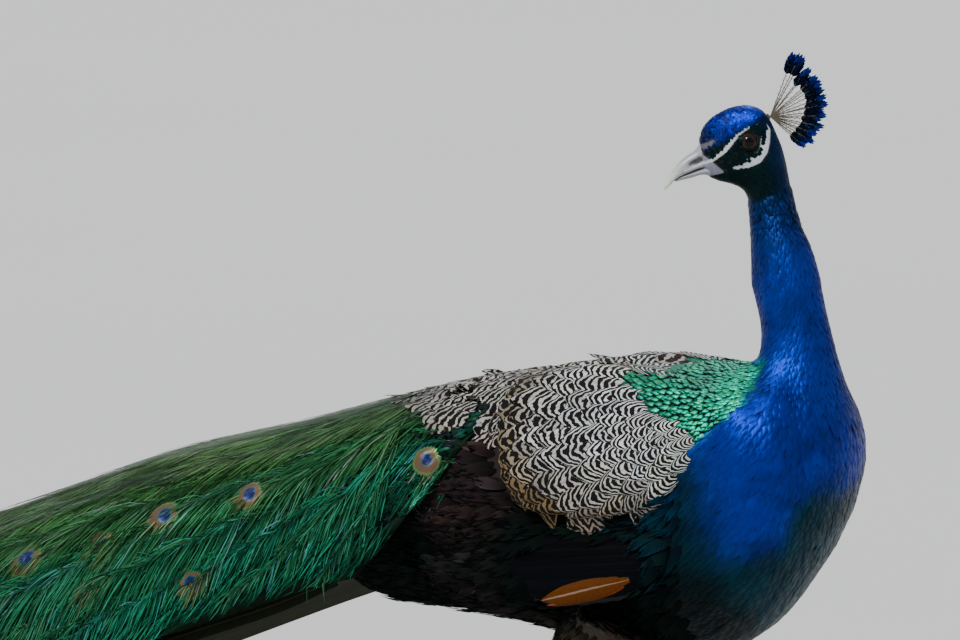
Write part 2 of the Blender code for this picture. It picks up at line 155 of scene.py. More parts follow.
# The lie of the coat: at each place, the way in which a feather points
LIE = [
    (138, 0, 545, 0, 0, -1), (150, 0, 500, 0, 0, -1), (118, 0, 470, -0.75, 0, -0.6),
    (150, 55, 440, -0.45, 0.1, -0.9), (195, 0, 400, 0, 0, -1), (150, 78, 370, -0.6, 0, -0.8),
    (165, 0, 300, -0.6, 0, -0.8), (120, 60, 290, -0.8, 0, -0.6), (60, 0, 455, -1, 0, -0.05),
    (0, 0, 449, -1, 0, -0.1), (60, 60, 440, -1, 0.15, -0.2), (-100, 0, 430, -1, 0, -0.2),
    (0, 88, 300, -0.95, 0, -0.3), (0, 0, 231, -1, 0, 0), (-200, 0, 252, -1, 0, 0.25), (-200, 0, 397, -1, 0, -0.3),
    (20, 75, 262, -0.6, 0, -0.8), (-35, 55, 180, -0.35, 0, -0.93), (-18, 56, 105, 0.1, 0, -1),
    (17, 56, 13, 1, 0, -0.2), (30, 70, 400, -1, 0, -0.12), (-60, 66, 400, -1, 0, -0.1),
    (-100, 80, 300, -1, 0, -0.05), (-120, 36, 412, -1, 0, -0.25),
]


def flat_on(ways, normals):
    """The ways, laid flat on the surface."""
    return ways - (ways * normals).sum(1, keepdims=True) * normals


def lie(points, normals):
    """Unit vectors along the surface in the lie of the coat."""
    way = field(points, LIE, 34)
    way[:, 1] *= np.sign(bird(points)[:, 1])
    local = in_head(points)
    on_head = (ease(-46, -30, local[:, 2]) * ease(560, 575, bird(points)[:, 2]))[:, None]
    from_bill = unit(local - np.array([38.0, 0, -4]))
    from_bill[:, 2] -= 0.9 * np.clip((10 - local[:, 0]) / 30, 0, 1)
    way = way * (1 - on_head) + (from_bill @ np.array(TURN.to_3x3()).T) * on_head
    return unit(flat_on(way, normals))


# ---------------- sizes and colours a user may change

def length(name, description, default):
    return bpy.props.FloatProperty(name=name, description=description, default=default, min=0.0, unit="LENGTH")


def colour(name, description, default):
    limits = {"min": 0, "max": 1, "subtype": "COLOR"}
    return bpy.props.FloatVectorProperty(name=name, description=description, default=default, **limits)


class PeacockSizes(bpy.types.PropertyGroup):
    """Sizes of the coat."""

    voxel: length("Skin grain", "Edge length of the skin's mesh", 0.003)
    head_step: length("Head feathers", "Distance between the feathers of the head", 0.0020)
    neck_step: length("Neck feathers", "Distance between the feathers of the neck and breast", 0.0036)
    mantle_step: length("Back scales", "Width of a scale feather of the back", 0.0042)
    fluff_step: length("Body fluff", "Distance between the loose feathers of belly and thighs", 0.0066)
    barred_step: length("Barred feathers", "Width of the middle barred feathers of the wing", 0.0185)
    bar_period: length("Bars", "Distance from bar to bar on the foremost barred feathers", 0.0040)
    barb_width: length("Train barb", "Width of a barb of the train", 0.00085)
    barb_step: length("Train barb spacing", "Distance between the barbs along a train feather", 0.0015)
    eye_spot: length("Train eye", "Width of an eye spot at the train's end", 0.044)


class PeacockColours(bpy.types.PropertyGroup):
    """Colours of skin and coat."""

    crown: colour("Crown", "Bright blue of the crown", (0.0025, 0.020, 0.31))
    brow: colour("Brow", "Dark teal-blue of the forehead", (0.002, 0.014, 0.10))
    cheek: colour("Cheek", "Green-black of cheek and throat", (0.002, 0.014, 0.011))
    nape: colour("Nape", "Dark blue-green of nape and collar", (0.003, 0.018, 0.075))
    neck: colour("Neck", "Blue of the neck", (0.002, 0.024, 0.26))
    breast: colour("Breast", "Ultramarine of the breast", (0.002, 0.019, 0.24))
    breast_low: colour("Low breast", "Teal-black below the breast", (0.0015, 0.026, 0.038))
    belly: colour("Belly", "Black of belly and flank", (0.0012, 0.0050, 0.0038))
    flank: colour("Flank", "Purple-brown of the loose flank feathers", (0.018, 0.012, 0.012))
    thigh: colour("Thigh", "Dark buff of the thighs", (0.032, 0.022, 0.014))
    mantle: colour("Mantle", "Silver-green of the back's scales", (0.004, 0.17, 0.095))
    mantle_front: colour("Upper mantle", "Bright emerald behind the neck", (0.005, 0.23, 0.135))
    mantle_rear: colour("Lower mantle", "Darker green beside the wing", (0.004, 0.10, 0.05))
    rump: colour("Rump", "Bronze-green at the root of the train", (0.018, 0.075, 0.035))
    blush: colour("Blush", "Pinkish brown patch of the upper back", (0.22, 0.13, 0.11))
    bare: colour("Bare skin", "White skin of the face", (0.62, 0.67, 0.69))
    cere: colour("Cere", "Mauve skin above the nostril", (0.27, 0.26, 0.33))
    leg: colour("Leg", "Grey-brown of shanks and feet", (0.16, 0.14, 0.12))
    pale_bar: colour("Pale bar", "Cream of the barred wing, in front and above", (0.50, 0.52, 0.51))
    buff_bar: colour("Buff bar", "Buff of the barred wing, behind and below", (0.155, 0.104, 0.046))
    dark_bar: colour("Dark bar", "Black-brown of the barred wing", (0.004, 0.003, 0.0025))
    secondary: colour("Secondaries", "Blue-black of the folded quills", (0.0006, 0.001, 0.002))
    rufous: colour("Primaries", "Chestnut of the primaries", (0.085, 0.017, 0.002))
    tail: colour("Tail", "Grey-brown of the tail", (0.045, 0.05, 0.032))
    train: colour("Train", "Green of the train's barbs", (0.036, 0.185, 0.052))
    train_low: colour("Train side", "Teal of the train's sides", (0.009, 0.165, 0.080))
    train_top: colour("Train ridge", "Bronze-green of the train's ridge", (0.095, 0.250, 0.045))
    horn: colour("Bill", "Grey horn of the bill", (0.30, 0.30, 0.34))


# Which colour lies where (x, y out, z)
MARKINGS = {
    "nape": [(138, 0, 590), (138, 0, 575), (132, 20, 568)],
    "neck": [(140, 0, 548), (150, 0, 520), (160, 25, 480), (118, 0, 490), (185, 0, 455)],
    "breast": [(194, 0, 400), (165, 60, 410), (145, 60, 430), (130, 84, 385), (138, 84, 345)],
    "breast_low": [(180, 0, 345), (98, 86, 374), (108, 87, 330), (158, 0, 285), (142, 66, 292)],
    "belly": [(84, 88, 330), (105, 70, 285), (95, 50, 262), (70, 0, 229), (0, 0, 231), (20, 85, 300),
              (-20, 85, 290), (-130, 80, 300), (20, 97, 314), (-60, 94, 300), (-130, 60, 260), (-200, 0, 252),
              (-200, 60, 330)],
    "flank": [(-60, 80, 290), (-80, 88, 350), (-95, 85, 400)],
    "mantle_front": [(120, 0, 458), (128, 40, 450), (100, 10, 462)],
    "mantle": [(80, 40, 452), (115, 72, 420), (60, 0, 456)],
    "mantle_rear": [(40, 55, 448), (20, 0, 450)],
    "rump": [(-40, 0, 440), (-120, 0, 425), (-190, 0, 400)],
    "thigh": [(10, 60, 245), (-20, 60, 205), (-36, 55, 172)],
    "leg": [(-30, 55, 140), (-18, 56, 105), (4, 56, 50), (17, 56, 13), (60, 56, 4)],
}
BACK_COLOURS = ("mantle", "mantle_front", "mantle_rear", "rump")  # these lie on the back alone

# The white skin of the face, as lines in the head's own frame (x, z), with half widths
BROW_STRIPE = [
    ((50, -6.6), 0.9), ((39, -5.8), 1.0), ((29.8, -4.6), 1.2), ((19.4, -0.3), 1.5), ((10.7, 5.8), 1.7),
    ((3.5, 9.0), 1.2), ((-4.4, 10.7), 0.9), ((-12, 10.8), 0.8),
]
CHEEK_PATCH = [
    ((-16.6, 9.4), 1.3), ((-15.9, 3), 3.2), ((-12.2, -4), 3.4), ((-8.4, -10), 3.1), ((-2.4, -14.6), 2.7),
    ((5.6, -16), 2.3), ((13.4, -15.7), 1.3), ((17, -14.6), 0.7),
]
LOWER_RIM = [((7.5, -11.2), 0.4), ((1.1, -12.3), 0.6), ((-5.4, -9.2), 0.4)]
CERE = [((25, 8.2), 1.6), ((31, 6.6), 2.0), ((39, 3.4), 1.8)]  # the mauve skin above the nostril


def line_share(local, line):
    """How far inside a tapering line each place of the head lies: 1 on it, 0 outside, with a soft rim."""
    x, _, z = local.T
    best = np.zeros(len(x))
    for ((ax, az), aw), ((bx, bz), bw) in zip(line, line[1:]):
        dx, dz = bx - ax, bz - az
        t = np.clip(((x - ax) * dx + (z - az) * dz) / (dx * dx + dz * dz), 0, 1)
        away = np.hypot(x - ax - t * dx, z - az - t * dz)
        wide = aw + (bw - aw) * t
        best = np.maximum(best, 1 - ease(wide - 0.45, wide + 0.45, away))
    return best


def bare_share(points):
    """1 where the face is bare and white, 0 elsewhere."""
    local = in_head(points)
    x, y, z = local.T
    on_face = (abs(y) > 5) & (x > -24) & (z > -24)
    lines = [line_share(local, line) for line in (BROW_STRIPE, CHEEK_PATCH, LOWER_RIM)]
    return np.max(lines, axis=0) * on_face


def feather_line(local):
    """How far a place of the head lies in front of the feathers' slanting edge at the bill, millimetres."""
    edge = np.clip(24.5 + (local[:, 2] + 14) * 0.63, 24, 38)
    return local[:, 0] - np.where(local[:, 2] < -16.5, 40, edge)


def palette(*names):
    colours = bpy.context.scene.peacock_colours
    return np.array([list(getattr(colours, name)) for name in names])


def dye(points):
    """The colour of skin and coat at each place, linear RGB."""
    points = np.asarray(points)
    x, _, z = bird(points).T
    local = in_head(points)
    ahead, _, high = local.T
    sheets = []
    for on_top in (False, True):
        names = [name for name in MARKINGS if (name in BACK_COLOURS) == on_top]
        sheets.append(field(points, [(*at, *palette(name)[0]) for name in names for at in MARKINGS[name]], 15))
    back_here = ease(-3, 3, z - np.maximum(411 + 1.04 * (x - 112), 402)) * ease(141, 136, x) * ease(470, 462, z)
    made = sheets[0] + (sheets[1] - sheets[0]) * back_here[:, None]
    crown, brow, cheek, nape, bare, cere, leg = palette("crown", "brow", "cheek", "nape", "bare", "cere", "leg")
    on_head = (ease(-46, -38, high) * ease(570, 585, z))[:, None]
    top = ease(9, 15, high + 0.28 * ahead)
    front = ease(20, 30, ahead)
    back = ease(-3, -24, ahead + 0.1 * high)
    head = cheek + (nape - cheek) * back[:, None]
    head = head + (crown + (brow - crown) * front[:, None] - head) * top[:, None]
    fleshy = np.maximum(line_share(local, CERE), ease(-0.6, 0.8, feather_line(local)))[:, None]
    head = head + (cere - head) * fleshy
    bare_here = bare_share(points)[:, None]
    head = head + (bare - head) * bare_here
    made = made * (1 - on_head) + head * on_head
    below = ease(168, 160, z)[:, None]
    return made * (1 - below) + leg * below


# ---------------- looks

class Look:
    """A material in the making: its Principled shader, and short ways to add and link nodes."""

    def __init__(self, name, roughness=0.5, metallic=0.0, specular=0.5, coat=None, group=False):
        if group:
            self.tree = bpy.data.node_groups.new(name, "ShaderNodeTree")
            return
        self.material = bpy.data.materials.new(name)
        self.material.use_nodes = True
        self.tree = self.material.node_tree
        self.shader = self.tree.nodes["Principled BSDF"]
        self.shader.inputs["Roughness"].default_value = roughness
        self.shader.inputs["Metallic"].default_value = metallic
        self.shader.inputs["Specular IOR Level"].default_value = specular
        if coat:
            self.shader.inputs["Coat Weight"].default_value = coat[0]
            self.shader.inputs["Coat Roughness"].default_value = coat[1]

    def node(self, kind, inputs=(), **settings):
        made = self.tree.nodes.new(kind)
        for key, value in settings.items():
            setattr(made, key, value)
        for socket, value in dict(inputs).items():
            if isinstance(value, bpy.types.NodeSocket):
                self.tree.links.new(value, made.inputs[socket])
            else:
                made.inputs[socket].default_value = value
        return made

    def value(self, attribute):
        return self.node("ShaderNodeAttribute", attribute_name=attribute).outputs["Fac"]

    def stain(self):
        return self.node("ShaderNodeAttribute", attribute_name="dye").outputs["Color"]

    def math(self, operation, first, second=0.0, third=0.0):
        inputs = {0: first, 1: second, 2: third}
        return self.node("ShaderNodeMath", inputs, operation=operation).outputs[0]

    def times(self, first, second):
        return self.math("MULTIPLY", first, second)

    def distance(self, x, y):
        return self.math("SQRT", self.math("ADD", self.times(x, x), self.times(y, y)))

    def darker(self, share):
        """The feather's own colour, that share of the way to black."""
        return self.mix(share, self.stain(), rgba(0, 0, 0))

    def mix(self, share, first, second, blend="MIX"):
        inputs = {0: share, 6: first, 7: second}
        return self.node("ShaderNodeMix", inputs, data_type="RGBA", blend_type=blend).outputs[2]

    def between(self, value, low, high):
        """0 where the value is at low, 1 where it is at high."""
        inputs = {0: value, 1: low, 2: high}
        return self.node("ShaderNodeMapRange", inputs, interpolation_type="SMOOTHSTEP").outputs[0]

    def noise(self, scale, detail=2.0, roughness=0.5):
        place = self.node("ShaderNodeTexCoord").outputs["Object"]
        inputs = {"Vector": place, "Scale": scale, "Detail": detail, "Roughness": roughness}
        return self.node("ShaderNodeTexNoise", inputs).outputs["Fac"]

    def waves(self, value):
        """A sine wave along a value, from 0 to 1, with one wave for each whole number."""
        return self.math("MULTIPLY_ADD", self.math("SINE", self.times(value, 2 * math.pi)), 0.5, 0.5)

    def paint(self, socket):
        self.tree.links.new(socket, self.shader.inputs["Base Color"])
        return self

    def bump(self, height, strength=0.4, distance=0.0004):
        inputs = {"Strength": strength, "Distance": distance, "Height": height}
        normal = self.node("ShaderNodeBump", inputs).outputs["Normal"]
        self.tree.links.new(normal, self.shader.inputs["Normal"])
        return self


@functools.cache
def barb_group():
    """Fine slanting barbs on both sides of a feather's shaft: a height for bump, and how near the shaft is."""
    group = Look("barbs", group=True)
    for name in ("Along", "Across", "Count"):
        group.tree.interface.new_socket(name, in_out="INPUT", socket_type="NodeSocketFloat")
    for name in ("Height", "Shaft"):
        group.tree.interface.new_socket(name, in_out="OUTPUT", socket_type="NodeSocketFloat")
    given = group.node("NodeGroupInput")
    side = group.math("ABSOLUTE", given.outputs["Across"])
    slant = group.math("MULTIPLY_ADD", side, -0.35, given.outputs["Along"])
    wave = group.waves(group.times(slant, given.outputs["Count"]))
    made = group.node("NodeGroupOutput")
    group.tree.links.new(wave, made.inputs["Height"])
    group.tree.links.new(group.between(side, 0.12, 0.03), made.inputs["Shaft"])
    return group.tree


def barbs(look, count):
    """Places the barb group in a material and returns its height and its shaft mask."""
    inputs = {"Along": look.value("along"), "Across": look.value("across"), "Count": count}
    node = look.node("ShaderNodeGroup", inputs, node_tree=barb_group())
    return node.outputs["Height"], node.outputs["Shaft"]


def rgba(*values):
    return (*[float(v) for v in values], 1.0)


@functools.cache
def skin_look():
    look = Look("skin", 0.62, specular=0.2)
    pores = look.noise(900, 3)
    look.paint(look.mix(look.between(pores, 0.35, 0.7), look.darker(0.35), look.stain()))
    return look.bump(pores, 0.35, 0.0003).material


@functools.cache
def gloss_look():
    """Iridescent contour feathers in their own colour, with painted shade at the root and in soft folds of the
    coat.
    """
    look = Look("gloss_feathers", 0.40, 0.72, 0.1)
    height, shaft = barbs(look, 16.0)
    along, across = look.value("along"), look.math("ABSOLUTE", look.value("across"))
    rim = look.math("MAXIMUM", look.between(along, 0.88, 1.0), look.between(across, 0.75, 1.0))
    # Painted shade: each feather darkens by a quarter towards its root, which lies under the next one.
    lit = look.mix(look.between(along, 0.1, 0.6), look.darker(0.25), look.stain())
    lit = look.mix(look.times(rim, 0.08), lit, rgba(0, 0.001, 0.003))
    # Painted shade: dark noise blotches, towards navy, stand for the shade in soft folds of the coat.
    folds = look.between(look.noise(34, 2, 0.4), 0.30, 0.62)
    lit = look.mix(look.math("MULTIPLY_ADD", folds, -0.42, 0.42), lit, rgba(0, 0.002, 0.008))
    look.paint(look.mix(look.times(shaft, 0.12), lit, look.mix(0.2, look.stain(), rgba(0.2, 0.35, 0.6))))
    return look.bump(height, 0.22, 0.00015).material


@functools.cache
def matt_look():
    """Loose downy feathers, with painted shade towards the root and in the grooves between the barbs."""
    look = Look("matt_feathers", 0.78, 0.0, 0.05)
    height, _ = barbs(look, 11.0)
    dark = look.darker(0.75)
    # Painted shade: dark at the root, the feather's own colour towards the tip.
    lit = look.mix(look.between(look.value("along"), 0.1, 0.9), dark, look.stain())
    # Painted shade in the grooves between the barbs, where the bump is low.
    painted_groove_shade = look.times(look.between(height, 0.45, 0.0), 0.5)
    look.paint(look.mix(painted_groove_shade, lit, dark))
    return look.bump(height, 0.6, 0.0005).material


@functools.cache
def scale_look():
    """Scale feathers of the back: a silver-green heart, a green ring and a black border."""
    look = Look("scale_feathers", 0.42, 0.75, 0.1)
    height, shaft = barbs(look, 8.0)
    along, across = look.value("along"), look.value("across")
    tip = look.times(look.math("SUBTRACT", along, 0.52), 2.1)
    out = look.math("ADD", look.times(tip, tip), look.times(across, across))
    rim = look.value("rim")
    border = look.between(out, look.math("SUBTRACT", rim, 0.10), look.math("ADD", rim, 0.12))
    heart = look.between(out, look.math("SUBTRACT", rim, 0.15), look.math("SUBTRACT", rim, 0.5))
    body = look.mix(look.times(heart, 0.6), look.stain(), look.stain(), "ADD")
    body = look.mix(look.times(shaft, 0.12), body, rgba(0.08, 0.45, 0.32))
    look.paint(look.mix(border, body, rgba(0.0005, 0.004, 0.002)))
    return look.bump(height, 0.3, 0.0002).material


@functools.cache
def barred_look():
    """Cream feathers with black-brown bars that follow the rounded tip; reach counts bars from the tip inwards."""
    look = Look("barred_feathers", 0.62, specular=0.1)
    height, shaft = barbs(look, 22.0)
    across = look.value("across")
    bow = look.times(look.times(across, across), look.value("bow"))
    lean = look.times(across, look.value("slant"))
    wobble = look.math("MULTIPLY_ADD", look.noise(180, 3), 1.5, -0.75)
    at = look.math("ADD", look.math("SUBTRACT", look.value("reach"), bow), look.math("ADD", lean, wobble))
    wave = look.waves(look.math("SUBTRACT", at, 0.22))
    bars = look.between(wave, 0.25, 0.42)
    pale = look.mix(look.times(shaft, 0.35), look.stain(), rgba(0.10, 0.07, 0.045))
    pale = look.mix(look.times(look.between(look.noise(700, 2), 0.5, 0.75), 0.35), pale, rgba(0.20, 0.15, 0.10))
    look.paint(look.mix(bars, pale, rgba(*palette("dark_bar")[0])))
    return look.bump(height, 0.3, 0.0003).material


@functools.cache
def quill_look(name="quills", pale=0.3, metallic=0.1):
    """Long stiff quills with fine barbs and a paler shaft."""
    look = Look(name, 0.42, metallic, 0.04)
    height, shaft = barbs(look, 90.0)
    mottle = look.between(look.noise(420, 3), 0.42, 0.68)
    base = look.mix(look.times(mottle, 0.35), look.stain(), look.darker(0.5))
    edge = look.between(look.math("ABSOLUTE", look.value("across")), 0.86, 1.0)
    base = look.mix(look.times(edge, 0.35), base, look.darker(0.6))
    look.paint(look.mix(look.times(shaft, 0.6), base, look.mix(pale, look.stain(), rgba(0.55, 0.42, 0.33))))
    return look.bump(height, 0.4, 0.0003).material


@functools.cache
def herl_look():
    """Loose barbs of the train, glossy green, with painted shade darkening them towards the root at the shaft."""
    look = Look("train_barbs", 0.36, 0.7, 0.12)
    # Painted shade: barbs darken towards the shaft, where they crowd together.
    rooted = look.between(look.value("along"), 0.0, 0.5)
    return look.paint(look.mix(rooted, look.darker(0.6), look.stain())).material


@functools.cache
def shaft_look():
    look = Look("train_shafts", 0.4)
    fine = look.noise(700, 2)
    return look.paint(look.mix(fine, look.stain(), look.mix(0.5, look.stain(), rgba(0.1, 0.08, 0.05)))).material


@functools.cache
def core_look():
    """The under layer of train and tail, seen between the barbs; its dark colour is painted shade."""
    look = Look("under_train", 0.75, specular=0.1)
    streak = look.noise(160, 4, 0.65)
    look.paint(look.mix(look.between(streak, 0.3, 0.75), look.darker(0.5), look.stain()))
    return look.bump(streak, 0.6, 0.002).material


@functools.cache
def eye_spot_look():
    """The eye of a train feather, from its rim in: green fringe, bronze, turquoise and a blue-black heart."""
    look = Look("train_eyes", 0.36, 0.5)
    x, y = look.value("across"), look.math("MULTIPLY_ADD", look.value("along"), 2.0, -1.0)
    r = look.math("ADD", look.distance(x, y), look.math("MULTIPLY_ADD", look.noise(500, 2), 0.08, -0.04))
    heart = look.distance(x, look.times(look.math("ADD", y, 0.16), 1.05))
    notch = look.times(look.between(look.math("ABSOLUTE", x), 0.16, 0.0), look.between(y, -0.12, -0.42))
    heart = look.math("ADD", heart, look.times(notch, 0.18))
    shade = look.mix(look.between(r, 0.97, 0.86), rgba(0.015, 0.12, 0.04), rgba(0.13, 0.18, 0.05))
    shade = look.mix(look.between(r, 0.84, 0.72), shade, rgba(0.145, 0.085, 0.042))
    shade = look.mix(look.between(heart, 0.49, 0.43), shade, rgba(0.015, 0.105, 0.15))
    shade = look.mix(look.between(heart, 0.42, 0.34), shade, rgba(0.002, 0.006, 0.085))
    strands = look.waves(look.value("spoke"))
    look.paint(look.mix(look.times(strands, 0.35), shade, look.mix(0.65, shade, rgba(0, 0, 0))))
    return look.bump(strands, 0.4, 0.0003).material


@functools.cache
def horn_look():
    look = Look("horn", 0.38, coat=(0.15, 0.3))
    streak = look.noise(420, 3)
    pale = look.mix(0.22, look.stain(), rgba(0.2, 0.17, 0.15))
    look.paint(look.mix(look.between(streak, 0.35, 0.75), look.stain(), pale))
    return look.bump(streak, 0.15, 0.0002).material


@functools.cache
def eye_look():
    look = Look("eye", 0.10, specular=0.12, coat=(0.12, 0.03))
    around = look.value("across")
    fleck = look.between(look.noise(1500, 2), 0.3, 0.7)
    iris = look.mix(fleck, rgba(0.010, 0.005, 0.003), rgba(0.026, 0.012, 0.007))
    shade = look.mix(look.between(around, 0.52, 0.56), rgba(0.001, 0.001, 0.001), iris)
    look.paint(look.mix(look.between(around, 0.95, 1.04), shade, rgba(0.006, 0.004, 0.004)))
    return look.material


@functools.cache
def scute_look():
    look = Look("leg_scutes", 0.5)
    fleck = look.noise(600, 3)
    edge = look.between(look.math("ABSOLUTE", look.value("across")), 0.7, 1.0)
    duller = look.mix(0.4, look.stain(), rgba(0.05, 0.04, 0.035))
    base = look.mix(look.between(fleck, 0.3, 0.7), look.stain(), duller)
    look.paint(look.mix(look.times(edge, 0.5), base, rgba(0.05, 0.042, 0.036)))
    return look.bump(fleck, 0.3, 0.0003).material


# ---------------- shapes

def cad_copy(names):
    """One bmesh of CAD nodes, their loose triangles merged, each face marked with its node's place in the list."""
    bm = bmesh.new()
    bm.faces.layers.int.new("part")
    for k, name in enumerate(names):
        start = len(bm.faces)
        bm.from_mesh(frame["nodes"][name].data)
        bm.faces.ensure_lookup_table()
        mark = bm.faces.layers.int["part"]
        for face in bm.faces[start:]:
            face[mark] = k
    bmesh.ops.remove_doubles(bm, verts=bm.verts, dist=1e-6)
    bmesh.ops.triangulate(bm, faces=bm.faces)
    return bm


def in_scene(name, data):
    """A new object in the scene."""
    made = bpy.data.objects.new(name, data)
    bpy.context.scene.collection.objects.link(made)
    return made


def object_of(name, mesh, look, replaces=()):
    """A finished piece that rides on the bird."""
    mesh.materials.clear()
    mesh.materials.append(look)
    made = in_scene(name, mesh)
    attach(made, "root")
    if replaces:
        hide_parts(*replaces)
    return made


def in_order(bm):
    """Sorts corners and faces by place: spin and the like leave them in another order on each run."""
    way = Vector((1.0, 1.7, 2.9))
    bm.verts.sort(key=lambda vert: vert.co.dot(way))
    bm.faces.sort(key=lambda face: face.calc_center_median().dot(way))


def mesh_of(name, bm):
    mesh = bpy.data.meshes.new(name)
    bm.to_mesh(mesh)
    bm.free()
    mesh.shade_smooth()
    return mesh


def remeshed(bm, voxel):
    """The closed surface round everything in the bmesh, as an even mesh of small quads."""
    rough = in_scene("rough", mesh_of("rough", bm))
    remesh = rough.modifiers.new("Remesh", "REMESH")
    remesh.mode, remesh.voxel_size = "VOXEL", voxel
    graph = bpy.context.evaluated_depsgraph_get()
    mesh = bpy.data.meshes.new_from_object(rough.evaluated_get(graph))
    bpy.data.objects.remove(rough)
    made = bmesh.new()
    made.from_mesh(mesh)
    bpy.data.meshes.remove(mesh)
    return made


def coordinates(bm):
    return np.array([vert.co for vert in bm.verts])


def put_back(bm, points):
    for vert, point in zip(bm.verts, points):
        vert.co = point


def vertex_normals(bm):
    bm.normal_update()
    return np.array([vert.normal for vert in bm.verts])


def add_colours(mesh, values):
    layer = mesh.attributes.new("dye", "FLOAT_COLOR", "POINT")
    full = np.ones((len(values), 4), np.float32)
    full[:, :3] = values
    layer.data.foreach_set("color", full.ravel())


def add_floats(mesh, name, values):
    layer = mesh.attributes.new(name, "FLOAT", "POINT")
    layer.data.foreach_set("value", np.asarray(values, np.float32).ravel())


def read(items, key, width, kind=np.float32):
    """One value of every item of a mesh, as rows."""
    values = np.empty(len(items) * width, kind)
    items.foreach_get(key, values)
    return values.reshape(-1, width)


RAY = 0.4  # how far a ray looks for the surface


class Surface:
    """A triangle mesh that feathers grow from: its corners, normals, parts and a tree that finds places."""

    def __init__(self, *names):
        points, normals, triangles, parts, start = [], [], [], [], 0
        for name in names:
            mesh = bpy.data.objects[name].data
            mesh.calc_loop_triangles()
            points.append(read(mesh.vertices, "co", 3).astype(float))
            normals.append(read(mesh.vertex_normals, "vector", 3).astype(float))
            triangles.append(read(mesh.loop_triangles, "vertices", 3, np.int32) + start)
            part = mesh.attributes.get("part")
            parts.append(read(part.data, "value", 1)[:, 0] if part else np.full(len(mesh.vertices), -1.0))
            start += len(mesh.vertices)
        self.points, self.normals = np.concatenate(points), np.concatenate(normals)
        self.triangles, self.parts = np.concatenate(triangles), np.concatenate(parts).round().astype(int)
        self.tree = BVHTree.FromPolygons(self.points.tolist(), self.triangles.tolist())

    def nearest(self, points):
        """The nearest places on the surface and the normals there."""
        flat = np.asarray(points).reshape(-1, 3)
        places, normals = np.empty_like(flat), np.empty_like(flat)
        for k, point in enumerate(flat):
            place, normal, _, _ = self.tree.find_nearest(point)
            places[k], normals[k] = place, normal
        return places.reshape(np.shape(points)), normals.reshape(np.shape(points))

    def struck(self, starts, ways):
        """Where rays meet the surface: places, normals, part numbers, and which of the rays do."""
        places, normals = np.zeros((len(starts), 3)), np.tile((0.0, 0, 1), (len(starts), 1))
        parts, hit = np.full(len(starts), -2), np.zeros(len(starts), bool)
        for k, (start, way) in enumerate(zip(starts, ways)):
            place, normal, index, _ = self.tree.ray_cast(Vector(start), Vector(way), RAY)
            if place is not None:
                places[k], normals[k], hit[k] = place, normal, True
                parts[k] = self.parts[self.triangles[index][0]]
        return places, normals, parts, hit

    def outside(self, places):
        """The train's outer face at each place, met from outside, and its normal."""
        out = unit(np.stack([places[:, 0] * 0, places[:, 1], 0.55 * (0.25 - abs(places[:, 1]))], 1))
        settled, normals, _, hit = self.struck(places + out * 0.05, -out)
        near, their = self.nearest(places)
        settled, normals = (np.where(hit[:, None], a, b) for a, b in ((settled, near), (normals, their)))
        return settled, np.where((normals * out).sum(1, keepdims=True) < 0.3, out, normals)

    def scatter(self, step, seed, keep=None, parts=None):
        """Evenly spread places, about one step apart, with the surface's smooth normals there."""
        rng = default_rng(seed)
        tri = self.triangles
        if parts is not None:
            tri = tri[np.isin(self.parts[tri[:, 0]], parts)]
        a, b, c = (self.points[tri[:, k]] for k in range(3))
        area = np.linalg.norm(np.cross(b - a, c - a), axis=1) / 2
        count = int(5 * area.sum() / step**2)
        pick = rng.choice(len(tri), count, p=area / area.sum())
        u, v = rng.random(count), rng.random(count)
        flip = u + v > 1
        u[flip], v[flip] = 1 - u[flip], 1 - v[flip]
        share = np.stack([1 - u - v, u, v], 1)[:, :, None]
        places = (self.points[tri[pick]] * share).sum(1)
        normals = unit((self.normals[tri[pick]] * share).sum(1))
        if keep is not None:
            chosen = keep(places, normals)
            places, normals = places[chosen], normals[chosen]
        near = KDTree(len(places))
        for k, place in enumerate(places):
            near.insert(place, k)
        near.balance()
        free, kept = np.ones(len(places), bool), []
        for k, place in enumerate(places):
            if free[k]:
                kept.append(k)
                free[[found[1] for found in near.find_range(place, step * 0.86)]] = False
        return places[kept], normals[kept]


@functools.cache
def surface(*names):
    missing = [name for name in names if name not in bpy.data.objects]
    if missing:
        raise RuntimeError(f"make these pieces first: {', '.join(missing)}")
    return Surface(*names)


class Vane:
    """The pattern of one feather or barb: a grid that runs from 0 to 1 along it and from -1 to 1 across it."""

    def __init__(self, steps, ribs, outline=None, ragged=0.0):
        bm = bmesh.new()
        bmesh.ops.create_grid(bm, x_segments=steps, y_segments=ribs, size=0.5)
        co = coordinates(bm)
        self.quads = np.array([[vert.index for vert in face.verts] for face in bm.faces])
        bm.free()
        self.along, self.across = co[:, 0] + 0.5, co[:, 1] * 2
        self.row = np.rint(self.along * steps).astype(int)
        self.steps = steps
        rib = np.rint((co[:, 1] + 0.5) * ribs).astype(int)
        self.breadth = self.across * (outline(self.along) if outline else 1.0)
        tip = 1 - 0.16 * self.across**2 * (ribs > 1)
        self.reach = self.along * tip * (1 - ragged * (rib % 2) * (self.row == steps))


def leaf(wide_at, tip=0.12, root=0.35):
    """The outline of a feather: its widest place, and its half widths at tip and root."""
    def outline(u):
        rise = root + (1 - root) * np.sin(np.clip(u / wide_at, 0, 1) * math.pi / 2)
        fall = tip + (1 - tip) * np.sqrt(np.clip(1 - ((u - wide_at) / (1 - wide_at)) ** 2, 0, 1))
        return np.where(u < wide_at, rise, fall)
    return outline


def unrolled(points):
    """Where each place lies on the coat, unrolled: how far along the bird, and how far round it."""
    x, y, z = bird(points).T
    middle = np.interp(x, [-1450, -400, -200, 100], [0, 230, 320, 345])
    return x * 0.6 - z, np.arctan2(y, np.where(z > 470, 139 - x, z - middle))


